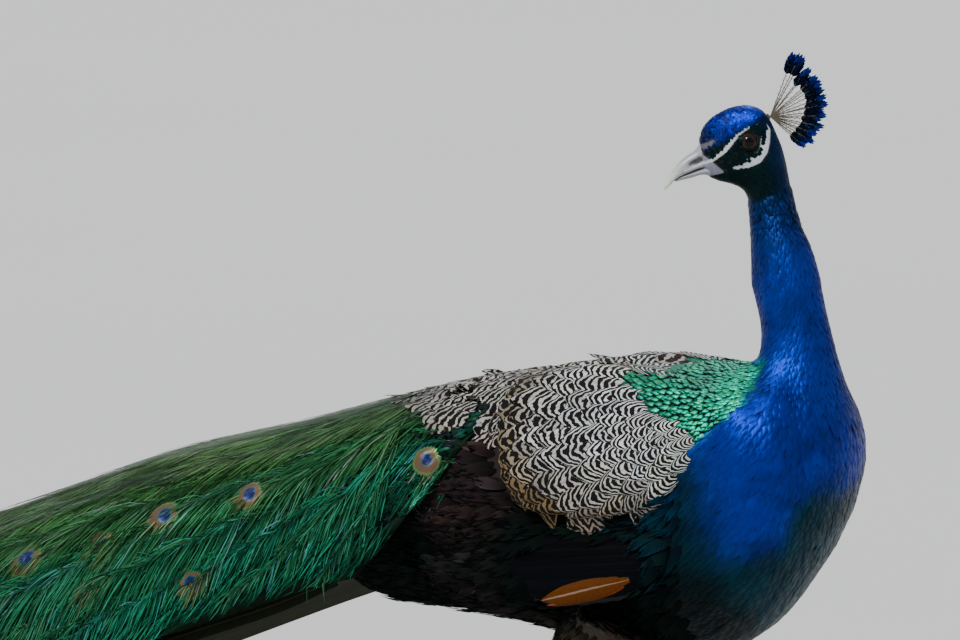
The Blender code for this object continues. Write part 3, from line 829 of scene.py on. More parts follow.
def patches(roots, size):
    """The corner of each tuft's own patch of the coat's map: columns along the bird, rows round it, none shared."""
    along, around = unrolled(roots)
    count = len(roots)
    columns = math.ceil(math.sqrt(count))
    column = np.argsort(np.argsort(along, kind="stable"), kind="stable") // columns
    order = np.lexsort((around, column))
    row = np.empty(count, int)
    row[order] = np.arange(count) - column[order] * columns
    cell = 1 / columns
    return np.stack([(column + 0.5) * cell, (row + 0.5) * cell], 1), min(size, 0.86 * cell)


FLOOR_ROOM = 0.0003  # nothing of the coat comes nearer to the floor than this


def coat_piece(name, look, slot, vane, points, stain, replaces=(), patch=0.003, **floats):
    """Joins copies of a vane into one piece. Points are (copies, vane's vertices, 3); the stain and each further
    float are given for each copy or each vertex."""
    copies, each = points.shape[:2]
    points = np.concatenate([points[..., :2], np.maximum(points[..., 2:], FLOOR_ROOM)], -1)
    quads = (vane.quads[None] + (np.arange(copies) * each)[:, None, None]).reshape(-1)
    mesh = bpy.data.meshes.new(name)
    mesh.vertices.add(copies * each)
    mesh.vertices.foreach_set("co", points.astype(np.float32).ravel())
    mesh.loops.add(len(quads))
    mesh.loops.foreach_set("vertex_index", quads)
    mesh.polygons.add(len(quads) // 4)
    mesh.polygons.foreach_set("loop_start", np.arange(0, len(quads), 4))
    mesh.update(calc_edges=True)
    mesh.shade_smooth()

    def spread(values, *size):
        values = np.asarray(values, float)
        if values.ndim == 1 + len(size) and len(values) == copies:
            values = values[:, None]
        return np.broadcast_to(values, (copies, each, *size)).reshape(-1, *size)

    add_colours(mesh, spread(np.clip(stain, 0, 1), 3))
    for key, value in {"along": vane.along[None], "across": vane.across[None], **floats}.items():
        add_floats(mesh, key, spread(value))
    centre, size = patches(points[:, 0], patch)
    spot = centre[:, None] + size * np.stack([vane.along - 0.5, vane.across * 0.5], 1)[None]
    layer = mesh.uv_layers.new(name="OFBake")
    layer.data.foreach_set("uv", spot.reshape(-1, 2)[quads].astype(np.float32).ravel())
    return object_of(name, mesh, look, replaces)


SHELL = 0.002  # the thickness of the train's thin shell


def laid(ground, vane, roots, ways, normals, lengths, widths, lift, base=0.0, curl=0.0, camber=0.0, tuck=0.0,
         span=1.0):
    """Copies of a vane laid over a surface: each follows it and rises from its base to its lift at the tip. A curl
    bends the tip down again, a camber raises the middle, and a tuck puts the root under the surface. Past a step
    deeper than its span a feather goes straight on."""
    side = np.cross(normals, ways)
    lengths, widths, lift, base = (np.broadcast_to(v, len(roots))[:, None] for v in (lengths, widths, lift, base))
    out = ways[:, None] * (vane.reach[None] * lengths)[..., None]
    over = side[:, None] * (vane.breadth[None] * widths / 2)[..., None]
    aim = roots[:, None] + out + over
    places, up = ground.nearest(aim)
    off = np.linalg.norm(aim - places, axis=-1, keepdims=True)
    places += (aim - places) * np.clip(1 - span / np.maximum(off, 1e-6), 0, 1)
    inner = (up * normals[:, None]).sum(-1) < -0.2  # a thin shell's far face was nearer
    up = np.where(inner[..., None], normals[:, None], up)
    rise = vane.along**0.8 - curl * np.clip(vane.along - 0.6, 0, 1) ** 2 / 0.16
    height = base + rise[None] * lift + camber * widths * (1 - vane.across**2)[None] - tuck * (vane.row == 0)[None]
    return places + up * (height + SHELL * inner)[..., None]


def strands(vane, lines, faces_out, widths, ridge=0.0):
    """Ribbons along lines of points (copies, steps + 1, 3), as wide at each point as the widths say."""
    tangents = unit(np.gradient(lines, axis=1))
    faces_out = np.broadcast_to(faces_out, lines.shape)
    side = unit(np.cross(faces_out, tangents))
    widths = np.broadcast_to(widths, lines.shape[:2])
    at = vane.row
    points = lines[:, at] + side[:, at] * (widths[:, at] * vane.across[None] / 2)[..., None]
    return points + faces_out[:, at] * (ridge * (1 - vane.across**2))[None, :, None]


def ring_loft(bm, loops):
    """Bridges closed loops of points in order and caps both ends."""
    edges = []
    for loop in loops:
        verts = [bm.verts.new(point) for point in loop]
        edges.append([bm.edges.new(pair) for pair in zip(verts, verts[1:] + verts[:1])])
    for near, far in zip(edges, edges[1:]):
        bmesh.ops.bridge_loops(bm, edges=near + far)
    for end in (edges[0], edges[-1]):
        bmesh.ops.contextual_create(bm, geom=end)
    bmesh.ops.recalc_face_normals(bm, faces=bm.faces)


def curve(values, count):
    """A smooth curve through rows of values, as a number of evenly spread rows."""
    values = np.asarray(values, float)
    t = np.linspace(0, len(values) - 1, count)
    i = np.clip(t.astype(int), 0, len(values) - 2)
    f = (t - i)[:, None]
    a, b, c, d = (values[np.clip(i + k, 0, len(values) - 1)] for k in (-1, 0, 1, 2))
    made = 2 * b + (c - a) * f + (2 * a - 5 * b + 4 * c - d) * f**2 + (3 * b - 3 * c + d - a) * f**3
    return made / 2


# ---------------- skin

# How deep the skin lies under the coat: (x, y out, z), depth in millimetres
COAT_DEPTH = [
    (111, 16, 628, 0.8), (111, 0, 650, 1.0), (135, 0, 590, 1.4), (139, 0, 540, 2.0), (145, 0, 490, 2.6),
    (180, 0, 400, 3.5), (140, 80, 370, 3.5), (60, 0, 455, 3.0), (0, 0, 231, 5.0), (0, 88, 330, 4.5),
    (-150, 0, 260, 5.0), (-150, 0, 420, 3.0), (60, 80, 400, 3.0), (-40, 80, 400, 3.0), (20, 97, 314, 2.2),
    (-60, 94, 306, 2.2), (-120, 76, 303, 1.6), (20, 99, 290, 1.2), (-80, 40, 421, 2.6), (20, 75, 255, 4.5),
    (-20, 62, 200, 3.5), (-40, 55, 168, 0.8), (-30, 55, 140, 0.2), (-18, 56, 105, 0.2), (17, 56, 13, 0.2),
    (50, 56, 5, 0.2),
]
FEATHERED_ABOVE = 0.165  # the legs are bare below this height
LID_OPENING = math.radians(61)  # from the eye's axis to the lid's edge


def seat_eyes(bm):
    """Draws the skin up to each eyeball, under the lids."""
    points = coordinates(bm)
    for side in SIDES:
        centre = np.array(middle_of(f"eye_{side}"))
        axis = unit(centre - np.array(BETWEEN_EYES))
        away = points - centre
        distance = np.linalg.norm(away, axis=1)
        angle = np.arccos(np.clip(away @ axis / np.maximum(distance, 1e-6), -1, 1))
        near = 1 - ease(0.009, 0.0125, distance)
        under = EYE_RADIUS - 0.0006
        rim = EYE_RADIUS + 0.0006 * np.exp(-((angle - LID_OPENING - 0.18) / 0.16) ** 2)
        wanted = np.where(angle < LID_OPENING, under, rim)
        free = ease(LID_OPENING + 0.35, LID_OPENING + 0.7, angle)
        wanted = wanted * (1 - free) + np.maximum(distance, rim) * free
        share = near * (angle < 1.9)
        points += away / np.maximum(distance, 1e-6)[:, None] * ((wanted - distance) * share)[:, None]
    put_back(bm, points)


def lid(side):
    """One eye's lids: a soft ring round the ball, drawn out to a corner in front and behind."""
    bm = bmesh.new()
    thick = 0.00085
    out, high = EYE_RADIUS * math.sin(LID_OPENING), EYE_RADIUS * math.cos(LID_OPENING)
    place = Matrix.Translation((out, 0, high)) @ Matrix.Rotation(math.pi / 2, 4, "X")
    made = bmesh.ops.create_circle(bm, cap_ends=False, segments=10, radius=thick, matrix=place)
    bmesh.ops.spin(bm, geom=[*bm.edges, *made["verts"]], cent=(0, 0, 0), axis=(0, 0, 1), angle=2 * math.pi,
                   steps=48, use_merge=True)
    bmesh.ops.recalc_face_normals(bm, faces=bm.faces)
    for vert in bm.verts:
        x, y = vert.co.x, vert.co.y
        around = math.atan2(y, x)
        corner = abs(math.cos(around)) ** 6
        vert.co.x *= 1 + 0.16 * corner
        vert.co.y *= 0.93 + (0.03 if y > 0 else -0.02)
        vert.co.z -= 0.0009 * corner
    centre = middle_of(f"eye_{side}")
    out_way = (centre - BETWEEN_EYES).normalized()
    ahead = TURN.to_3x3() @ Vector((1, 0, 0))
    up = out_way.cross(ahead) * (1 if side == "right" else -1)
    if up.z < 0:
        up.negate()
    basis = Matrix((ahead, up, out_way)).transposed()
    bmesh.ops.transform(bm, matrix=Matrix.Translation(centre) @ basis.to_4x4(), verts=bm.verts)
    bmesh.ops.recalc_face_normals(bm, faces=bm.faces)
    in_order(bm)
    return mesh_of(f"lid_{side}", bm)


# Soft folds down the neck and breast: points (x, y, z), depth and half width in millimetres
NECK_FOLDS = [
    ([(150, -27, 545), (158, -30, 500), (168, -38, 455), (176, -44, 415)], 2.2, 9),
    ([(125, -24, 530), (128, -30, 490), (138, -48, 450), (150, -66, 410)], 1.8, 9),
    ([(160, 26, 540), (168, 30, 495), (178, 40, 450)], 2.0, 9),
]


def fold_neck(bm):
    points, normals = coordinates(bm), vertex_normals(bm)
    for line, depth, wide in NECK_FOLDS:
        path = world(curve(line, 24))
        away = np.sqrt(((points[:, None] - path[None]) ** 2).sum(-1)).min(1)
        points -= normals * (depth * MM * np.exp(-((away / (wide * MM)) ** 2)))[:, None]
    put_back(bm, points)


def refine_head(bm, rounds=2):
    """Halves the mesh's edges on the head, so that it can carry lids and the edges of bare skin."""
    for _ in range(rounds):
        local = in_head(coordinates(bm))
        fine = (local[:, 2] > -36) & (bird(coordinates(bm))[:, 2] > 585)
        bm.verts.ensure_lookup_table()
        edges = [e for e in bm.edges if fine[e.verts[0].index] and fine[e.verts[1].index]]
        bmesh.ops.subdivide_edges(bm, edges=edges, cuts=1, use_grid_fill=True)
        bm.verts.index_update()


class PEACOCK_OT_skin(bpy.types.Operator):
    """One skin under the coat, from head to feet, with the lids of both eyes"""

    bl_idname = "peacock.skin"
    bl_label = "Skin"

    def execute(self, context):
        solids = cad_copy(FLESH)
        nodes = BVHTree.FromBMesh(solids)
        solids.faces.ensure_lookup_table()
        mark = solids.faces.layers.int["part"]
        marks = [face[mark] for face in solids.faces]
        bm = remeshed(solids, context.scene.peacock_sizes.voxel)
        for _ in range(2):
            bmesh.ops.smooth_vert(bm, verts=bm.verts, factor=0.5, use_axis_x=True, use_axis_y=True, use_axis_z=True)
        depth = field(coordinates(bm), COAT_DEPTH, 22) * MM
        put_back(bm, coordinates(bm) - vertex_normals(bm) * depth)
        refine_head(bm)
        seat_eyes(bm)
        fold_neck(bm)
        points = coordinates(bm)
        parts = [marks[nodes.find_nearest(point)[2]] for point in points]
        for side in SIDES:
            bm.from_mesh(lid(side))
        mesh = mesh_of("skin", bm)
        lids = len(mesh.vertices) - len(points)
        everywhere = np.array([vert.co for vert in mesh.vertices])
        stain = dye(everywhere)
        # Painted shade: where the coat covers it, the skin is darkened to 0.45 of its colour above 590 mm, to 0.75
        # below 560 mm.
        feathered = (bare_share(everywhere) < 0.3) & (everywhere[:, 2] > FEATHERED_ABOVE)
        feathered &= feather_line(in_head(everywhere)) < 0
        stain[feathered] *= 0.45 + 0.3 * ease(590, 560, bird(everywhere[feathered])[:, 2])[:, None]
        stain[len(points):] = (0.014, 0.009, 0.008)
        add_colours(mesh, stain)
        add_floats(mesh, "part", parts + [FLESH.index("head")] * lids)
        object_of("skin", mesh, skin_look(), FLESH)
        return {"FINISHED"}


# ---------------- bill, eyes, claws

# Bill sections in the head's own millimetres: top (x, z), bottom (x, z), half width
BILL_UPPER = [
    ((30, 12), (33, -11), 8.2), ((36.1, 5.6), (38.2, -9.4), 7.0), ((45, 2.8), (45.5, -9.5), 5.8),
    ((52, 0.2), (52, -9.9), 4.7), ((58, -3.8), (57.5, -10.7), 3.6), ((63.5, -8.6), (61.8, -12.7), 2.4),
    ((67.2, -12.2), (65.6, -14.5), 1.4), ((69, -13.9), (67.8, -15.6), 0.9),
]
BILL_LOWER = [
    ((32, -9), (32.5, -17), 7.6), ((38.2, -9.2), (38.6, -14.2), 6.3), ((45.5, -9.4), (45.5, -13.8), 4.9),
    ((52, -9.8), (52, -13.2), 3.6), ((57, -10.6), (56.6, -12.7), 2.0), ((59.2, -11.4), (58.8, -12.4), 0.8),
]
NOSTRIL = [((31, -2.0), 2.2), ((38, -2.2), 2.4), ((45.5, -3.0), 1.0)]  # the nostril's hollow, pressed in and painted dark as shade: (x, z) and half height


def bill_half(name, rows, keel, sides=28, per_row=6):
    """One half of the bill, lofted through its sections; the keel makes a section's top or bottom narrower."""
    flat = [(a[0], a[1], b[0], b[1], w) for a, b, w in rows]
    loops = []
    for row in curve(flat, per_row * (len(flat) - 1) + 1):
        top, bottom, wide = row[:2], row[2:4], max(row[4], 0.3)
        loop = []
        for k in range(sides):
            a = 2 * math.pi * k / sides
            share = 0.5 + 0.5 * math.cos(a)
            narrow = 1 - 0.32 * (share if keel == "top" else 1 - share)
            x, z = bottom + (top - bottom) * share
            loop.append(Vector((x, wide * math.sin(a) * narrow, z)))
        loops.append(loop)
    bm = bmesh.new()
    ring_loft(bm, loops)
    local = coordinates(bm)
    stain = np.tile(palette("horn")[0], (len(local), 1))
    tipward = ease(46, 66, local[:, 0])[:, None]
    stain = stain + (np.array((0.60, 0.64, 0.50)) - stain) * tipward
    if keel == "top":
        band = line_share(local, BROW_STRIPE[:3])[:, None]
        stain = stain + (palette("bare")[0] - stain) * band
        # Painted shade: the nostril is darkened nearly to black and pressed 1.1 mm in.
        nostril_hollow_and_shade = line_share(local, NOSTRIL) * (abs(local[:, 1]) > 1)
        stain = stain * (1 - 0.93 * nostril_hollow_and_shade[:, None])
        local[:, 1] -= np.sign(local[:, 1]) * nostril_hollow_and_shade * 1.1
    else:
        stain = stain * 0.75 + np.array((0.42, 0.40, 0.37)) * 0.25
        # Painted shade: the lower bill's top edge, under the upper bill's rim, is darkened by up to three quarters.
        gape_shade = ease(-1.6, 0.2, local[:, 2] - np.interp(local[:, 0], (32, 59), (-9.2, -11.2)))[:, None]
        stain = stain * (1 - 0.75 * gape_shade)
    put_back(bm, local * MM)
    bmesh.ops.transform(bm, matrix=HEAD, verts=bm.verts)
    mesh = mesh_of(f"{name}_horn", bm)
    add_colours(mesh, stain)
    object_of(f"{name}_horn", mesh, horn_look(), [name])


class PEACOCK_OT_bill(bpy.types.Operator):
    """Both halves of the bill, with slit nostrils"""

    bl_idname = "peacock.bill"
    bl_label = "Bill"

    def execute(self, context):
        bill_half("bill_upper", BILL_UPPER, "top")
        bill_half("bill_lower", BILL_LOWER, "bottom")
        return {"FINISHED"}


class PEACOCK_OT_eyes(bpy.types.Operator):
    """Both eyeballs, with a dark brown iris round a large pupil"""

    bl_idname = "peacock.eyes"
    bl_label = "Eyes"

    def execute(self, context):
        for side in SIDES:
            bm = bmesh.new()
            bmesh.ops.create_uvsphere(bm, u_segments=40, v_segments=28, radius=EYE_RADIUS)
            in_order(bm)
            angle = np.array([math.acos(max(-1, min(1, vert.co.z / EYE_RADIUS))) for vert in bm.verts])
            centre = middle_of(f"eye_{side}")
            turn = (centre - BETWEEN_EYES).to_track_quat("Z", "Y").to_matrix().to_4x4()
            bmesh.ops.transform(bm, matrix=Matrix.Translation(centre) @ turn, verts=bm.verts)
            mesh = mesh_of(f"eye_{side}_ball", bm)
            add_floats(mesh, "across", angle)
            object_of(f"eye_{side}_ball", mesh, eye_look(), [f"eye_{side}"])
        return {"FINISHED"}


class PEACOCK_OT_claws(bpy.types.Operator):
    """Claws and spurs, rounded"""

    bl_idname = "peacock.claws"
    bl_label = "Claws and spurs"

    def execute(self, context):
        for name in frame["nodes"]:
            if name.startswith(("claw_", "spur_")):
                mesh = mesh_of(f"{name}_smooth", cad_copy([name]))
                add_colours(mesh, np.tile((0.035, 0.030, 0.027), (len(mesh.vertices), 1)))
                made = object_of(f"{name}_smooth", mesh, horn_look(), [name])
                rounding = made.modifiers.new("Rounding", "SUBSURF")
                rounding.levels = rounding.render_levels = 2
        return {"FINISHED"}


# ---------------- feathers of head and body

QUILL_PARTS = tuple(name for name in WING_PARTS if name.endswith("aries"))


def part_numbers(*starts):
    return [k for k, name in enumerate(FLESH) if name.startswith(starts)]


def varied(stain, rng, spread=0.2, hue=0.05):
    """Colours that differ a little from feather to feather."""
    light = np.exp(rng.normal(0, spread, (len(stain), 1)))
    return stain * light * (1 + rng.normal(0, hue, stain.shape))


def on_back(places, normals):
    """The back, from behind the neck to the rump, which has scale feathers."""
    x, _, z = bird(places).T
    shoulder = (z > 411 + 1.04 * (x - 112)) & (z > 404) & (x < 138) & (x > 40) & (z < 467)
    return shoulder | ((x <= 40) & (normals[:, 2] > 0.3) & (z > 395))


def on_breast(places, normals):
    x, _, z = bird(places).T
    return (x > 88 + 0.10 * (z - 230)) & ~on_back(places, normals)


def off_face(places, normals):
    """The feathered head: not the bare skin, the eyelids or the bill's base."""
    local = in_head(places)
    eyes = [np.array(middle_of(f"eye_{side}")) for side in SIDES]
    clear = np.min([np.linalg.norm(places - eye, axis=1) for eye in eyes], axis=0) > 0.0086
    fleshy = line_share(local, CERE)
    return clear & (bare_share(places) < 0.02) & (fleshy < 0.2) & (feather_line(local) < 0) & (local[:, 2] > -42)


class PEACOCK_OT_head_feathers(bpy.types.Operator):
    """Tiny scale-like feathers of crown, cheek and throat"""

    bl_idname = "peacock.head_feathers"
    bl_label = "Head feathers"

    def execute(self, context):
        rng = default_rng(2)
        ground = surface("skin")
        step = context.scene.peacock_sizes.head_step
        roots, normals = ground.scatter(step, 3, off_face, part_numbers("head"))
        ahead, _, high = in_head(roots).T
        nape = ease(16, -22, ahead) + 0.5 * ease(-12, -34, high)
        crown = ease(9, 14, high + 0.28 * ahead)
        size = (2.6 + 2.0 * np.clip(nape, 0, 1.3)) * MM * rng.uniform(0.85, 1.15, len(roots))
        ways = lie(roots, normals)
        vane = Vane(3, 2, leaf(0.55), 0.15)
        points = laid(ground, vane, roots, ways, normals, size * 1.35, size * 1.05, (0.35 + 0.4 * crown) * MM,
                      base=0.05 * MM, tuck=0.3 * MM)
        stain = varied(dye(roots), rng, 0.14 + 0.26 * crown[:, None], 0.06)
        coat_piece("head_feathers", gloss_look(), "head", vane, points, stain)
        return {"FINISHED"}


class PEACOCK_OT_neck_feathers(bpy.types.Operator):
    """Glossy blue feathers of neck and breast"""

    bl_idname = "peacock.neck_feathers"
    bl_label = "Neck and breast feathers"

    def execute(self, context):
        rng = default_rng(4)
        ground = surface("skin")
        step = context.scene.peacock_sizes.neck_step
        beds = [("neck_upper", 0.74, None, 9.5, 3.4, 0.7), ("neck_lower", 0.84, None, 11.5, 4.2, 0.8),
                ("trunk", 1.10, on_breast, 17.0, 6.4, 1.0)]
        vane = Vane(4, 4, leaf(0.6, 0.3, 0.8), 0.04)
        for k, (part, spread, keep, long, wide, lift) in enumerate(beds):
            roots, normals = ground.scatter(step * spread, 5 + k, keep, part_numbers(part))
            ways = unit(lie(roots, normals) + rng.normal(0, 0.05, roots.shape))
            size = rng.uniform(0.85, 1.15, len(roots)) * MM
            collar = ease(560, 568, bird(roots)[:, 2])
            points = laid(ground, vane, roots, ways, normals, long * size * (1 - 0.25 * collar), wide * size,
                          lift * size * (1 + 0.8 * collar), base=0.1 * MM, curl=0.15, camber=0.04, tuck=1.0 * MM)
            stain = varied(dye(roots + ways * long * 0.7 * MM), rng, 0.07 + 0.25 * collar[:, None], 0.03)
            name = {"trunk": "breast_feathers"}.get(part, f"{part}_feathers")
            coat_piece(name, gloss_look(), "breast" if part == "trunk" else "neck", vane, points, stain)
        return {"FINISHED"}


class PEACOCK_OT_body_fluff(bpy.types.Operator):
    """Loose dark feathers of belly, flanks and thighs"""

    bl_idname = "peacock.body_fluff"
    bl_label = "Belly and thigh feathers"

    def execute(self, context):
        rng = default_rng(6)
        ground = surface("skin")
        step = context.scene.peacock_sizes.fluff_step

        def below(places, normals):
            return ~on_back(places, normals) & ~on_breast(places, normals)

        def behind_wing(places, normals):
            x, _, z = bird(places).T
            return ((x < -22) | (z < 281)) & (abs(normals[:, 1]) > 0.3)

        beds = [("belly_feathers", ("trunk",), below, 36.0, 7.0, 4.5),
                ("thigh_feathers", ("thigh",), None, 21.0, 5.0, 4.6),
                ("wing_fluff", QUILL_PARTS, behind_wing, 34.0, 6.5, 3.6)]
        vane = Vane(6, 4, leaf(0.5, 0.25), 0.4)
        for k, (name, parts, keep, long, wide, lift) in enumerate(beds):
            on_thigh = name == "thigh_feathers"
            roots, normals = ground.scatter(step * (0.7 if on_thigh else 0.9), 8 + k, keep, part_numbers(*parts))
            ways = unit(lie(roots, normals) + rng.normal(0, 0.16, roots.shape))
            size = rng.uniform(0.7, 1.25, len(roots)) * MM
            low = ease(182, 166, bird(roots)[:, 2]) * on_thigh
            size *= 1 - 0.45 * low
            points = laid(ground, vane, roots, ways, normals, long * size, wide * size, lift * size,
                          base=0.2 * MM, curl=0.1, camber=0.05, tuck=1.2 * MM)
            stain = varied(dye(roots), rng, 0.42, 0.08)
            coat_piece(name, matt_look(), "thigh", vane, points, stain)
        self.train_root(step, rng)
        return {"FINISHED"}

    def train_root(self, step, rng):
        """Short green-black feathers over the front of the train, under its long ones."""
        ground = surface("train_core_base")

        def in_front(places, normals):
            x, y, _ = bird(places).T
            return (x > -235) & (normals[:, 1] * np.sign(y) > 0.12) & (normals[:, 2] < 0.85)

        roots, normals = ground.scatter(step * 0.62, 11, in_front)
        ways = unit(lie(roots, normals) + np.array((-0.5, 0, -0.35)) + rng.normal(0, 0.12, roots.shape))
        ways = unit(flat_on(ways, normals))
        size = rng.uniform(0.75, 1.2, len(roots)) * MM
        vane = Vane(5, 2, leaf(0.6, 0.2), 0.4)
        points = laid(ground, vane, roots, ways, normals, 17 * size, 4.2 * size, 1.3 * size, base=0.2 * MM,
                      curl=0.2, camber=0.04, tuck=0.6 * MM)
        dark, green = np.array((0.004, 0.010, 0.008)), palette("train_low")[0] * 0.45
        share = ease(0.35, 1.0, rng.random((len(roots), 1)))
        stain = varied(dark + (green - dark) * share, rng, 0.35, 0.08)
        coat_piece("train_root_feathers", gloss_look(), "train", vane, points, stain)


def mantle_on_wing(places):
    """Where the back's scales lie over the wing: a wedge behind the shoulder, above the coverts."""
    x, y, z = bird(places).T
    return (x > 38) & (z > 444 - 0.40 * (x - 39)) & ((abs(y) > 44) | (x > 78))


class PEACOCK_OT_back_scales(bpy.types.Operator):
    """Rows of green scale feathers on the upper back"""

    bl_idname = "peacock.back_scales"
    bl_label = "Back scales"

    def execute(self, context):
        rng = default_rng(10)
        ground = surface("skin", "train_core_base")
        small = context.scene.peacock_sizes.mantle_step / MM
        starts, ways, sizes = [], [], []
        x, row = 138.0, 0
        while x > 22:
            wide = small * (1.0 + 0.22 * ease(115, 60, x))
            turn = wide / 108
            for a in np.arange(-1.45, 1.45, turn) + (row % 2) * turn / 2:
                a += rng.normal(0, 0.17 * turn)
                way = np.array((0, math.sin(a), math.cos(a)))
                starts.append(world((x + rng.normal(0, 0.17 * wide), 0, 345)) + way * 0.25)
                ways.append(-way)
                sizes.append(wide * MM)
            x -= 0.86 * wide
            row += 1
        places, normals, parts, hit = ground.struck(starts, ways)
        x, y, z = bird(places).T
        on_wing = np.isin(parts, part_numbers("wing"))
        clear = ((x > 40) | (normals[:, 2] > 0.32)) & ((x > 66) | (abs(y) > 30))
        hit &= on_back(places, normals) & (parts >= 0) & np.where(on_wing, mantle_on_wing(places), clear)
        roots, normals, x, z = places[hit], normals[hit], x[hit], z[hit]
        sizes = np.array(sizes)[hit] * rng.uniform(0.92, 1.08, hit.sum())
        vane = Vane(4, 4, leaf(0.5, 0.35, 0.5))
        ways = unit(lie(roots, normals) + rng.normal(0, 0.10, roots.shape))
        points = laid(ground, vane, roots, ways, normals, sizes * 1.9, sizes * 1.12, 0.7 * MM + sizes * 0.18,
                      base=0.3 * MM, curl=0.2, camber=0.12, tuck=0.6 * MM)
        smooth = np.clip(ease(100, 130, x) - ease(445, 425, z), 0, 1)
        rim = 0.58 + 0.60 * smooth
        stain = varied(dye(roots), rng, 0.22, 0.08)
        coat_piece("back_scales", scale_look(), "neck", vane, points, stain, rim=rim)
        return {"FINISHED"}


# ---------------- wings

SHOULDER = (135, 432)  # where the barred feathers fan out from (x, z), millimetres
COVERT_EDGE = ((338, 365, 392, 420, 434), (-30, -48, -60, -68, -72))  # heights, and where the panel ends (x) there
BACK_END = -188  # how far back the barred feathers reach on the ridge, millimetres


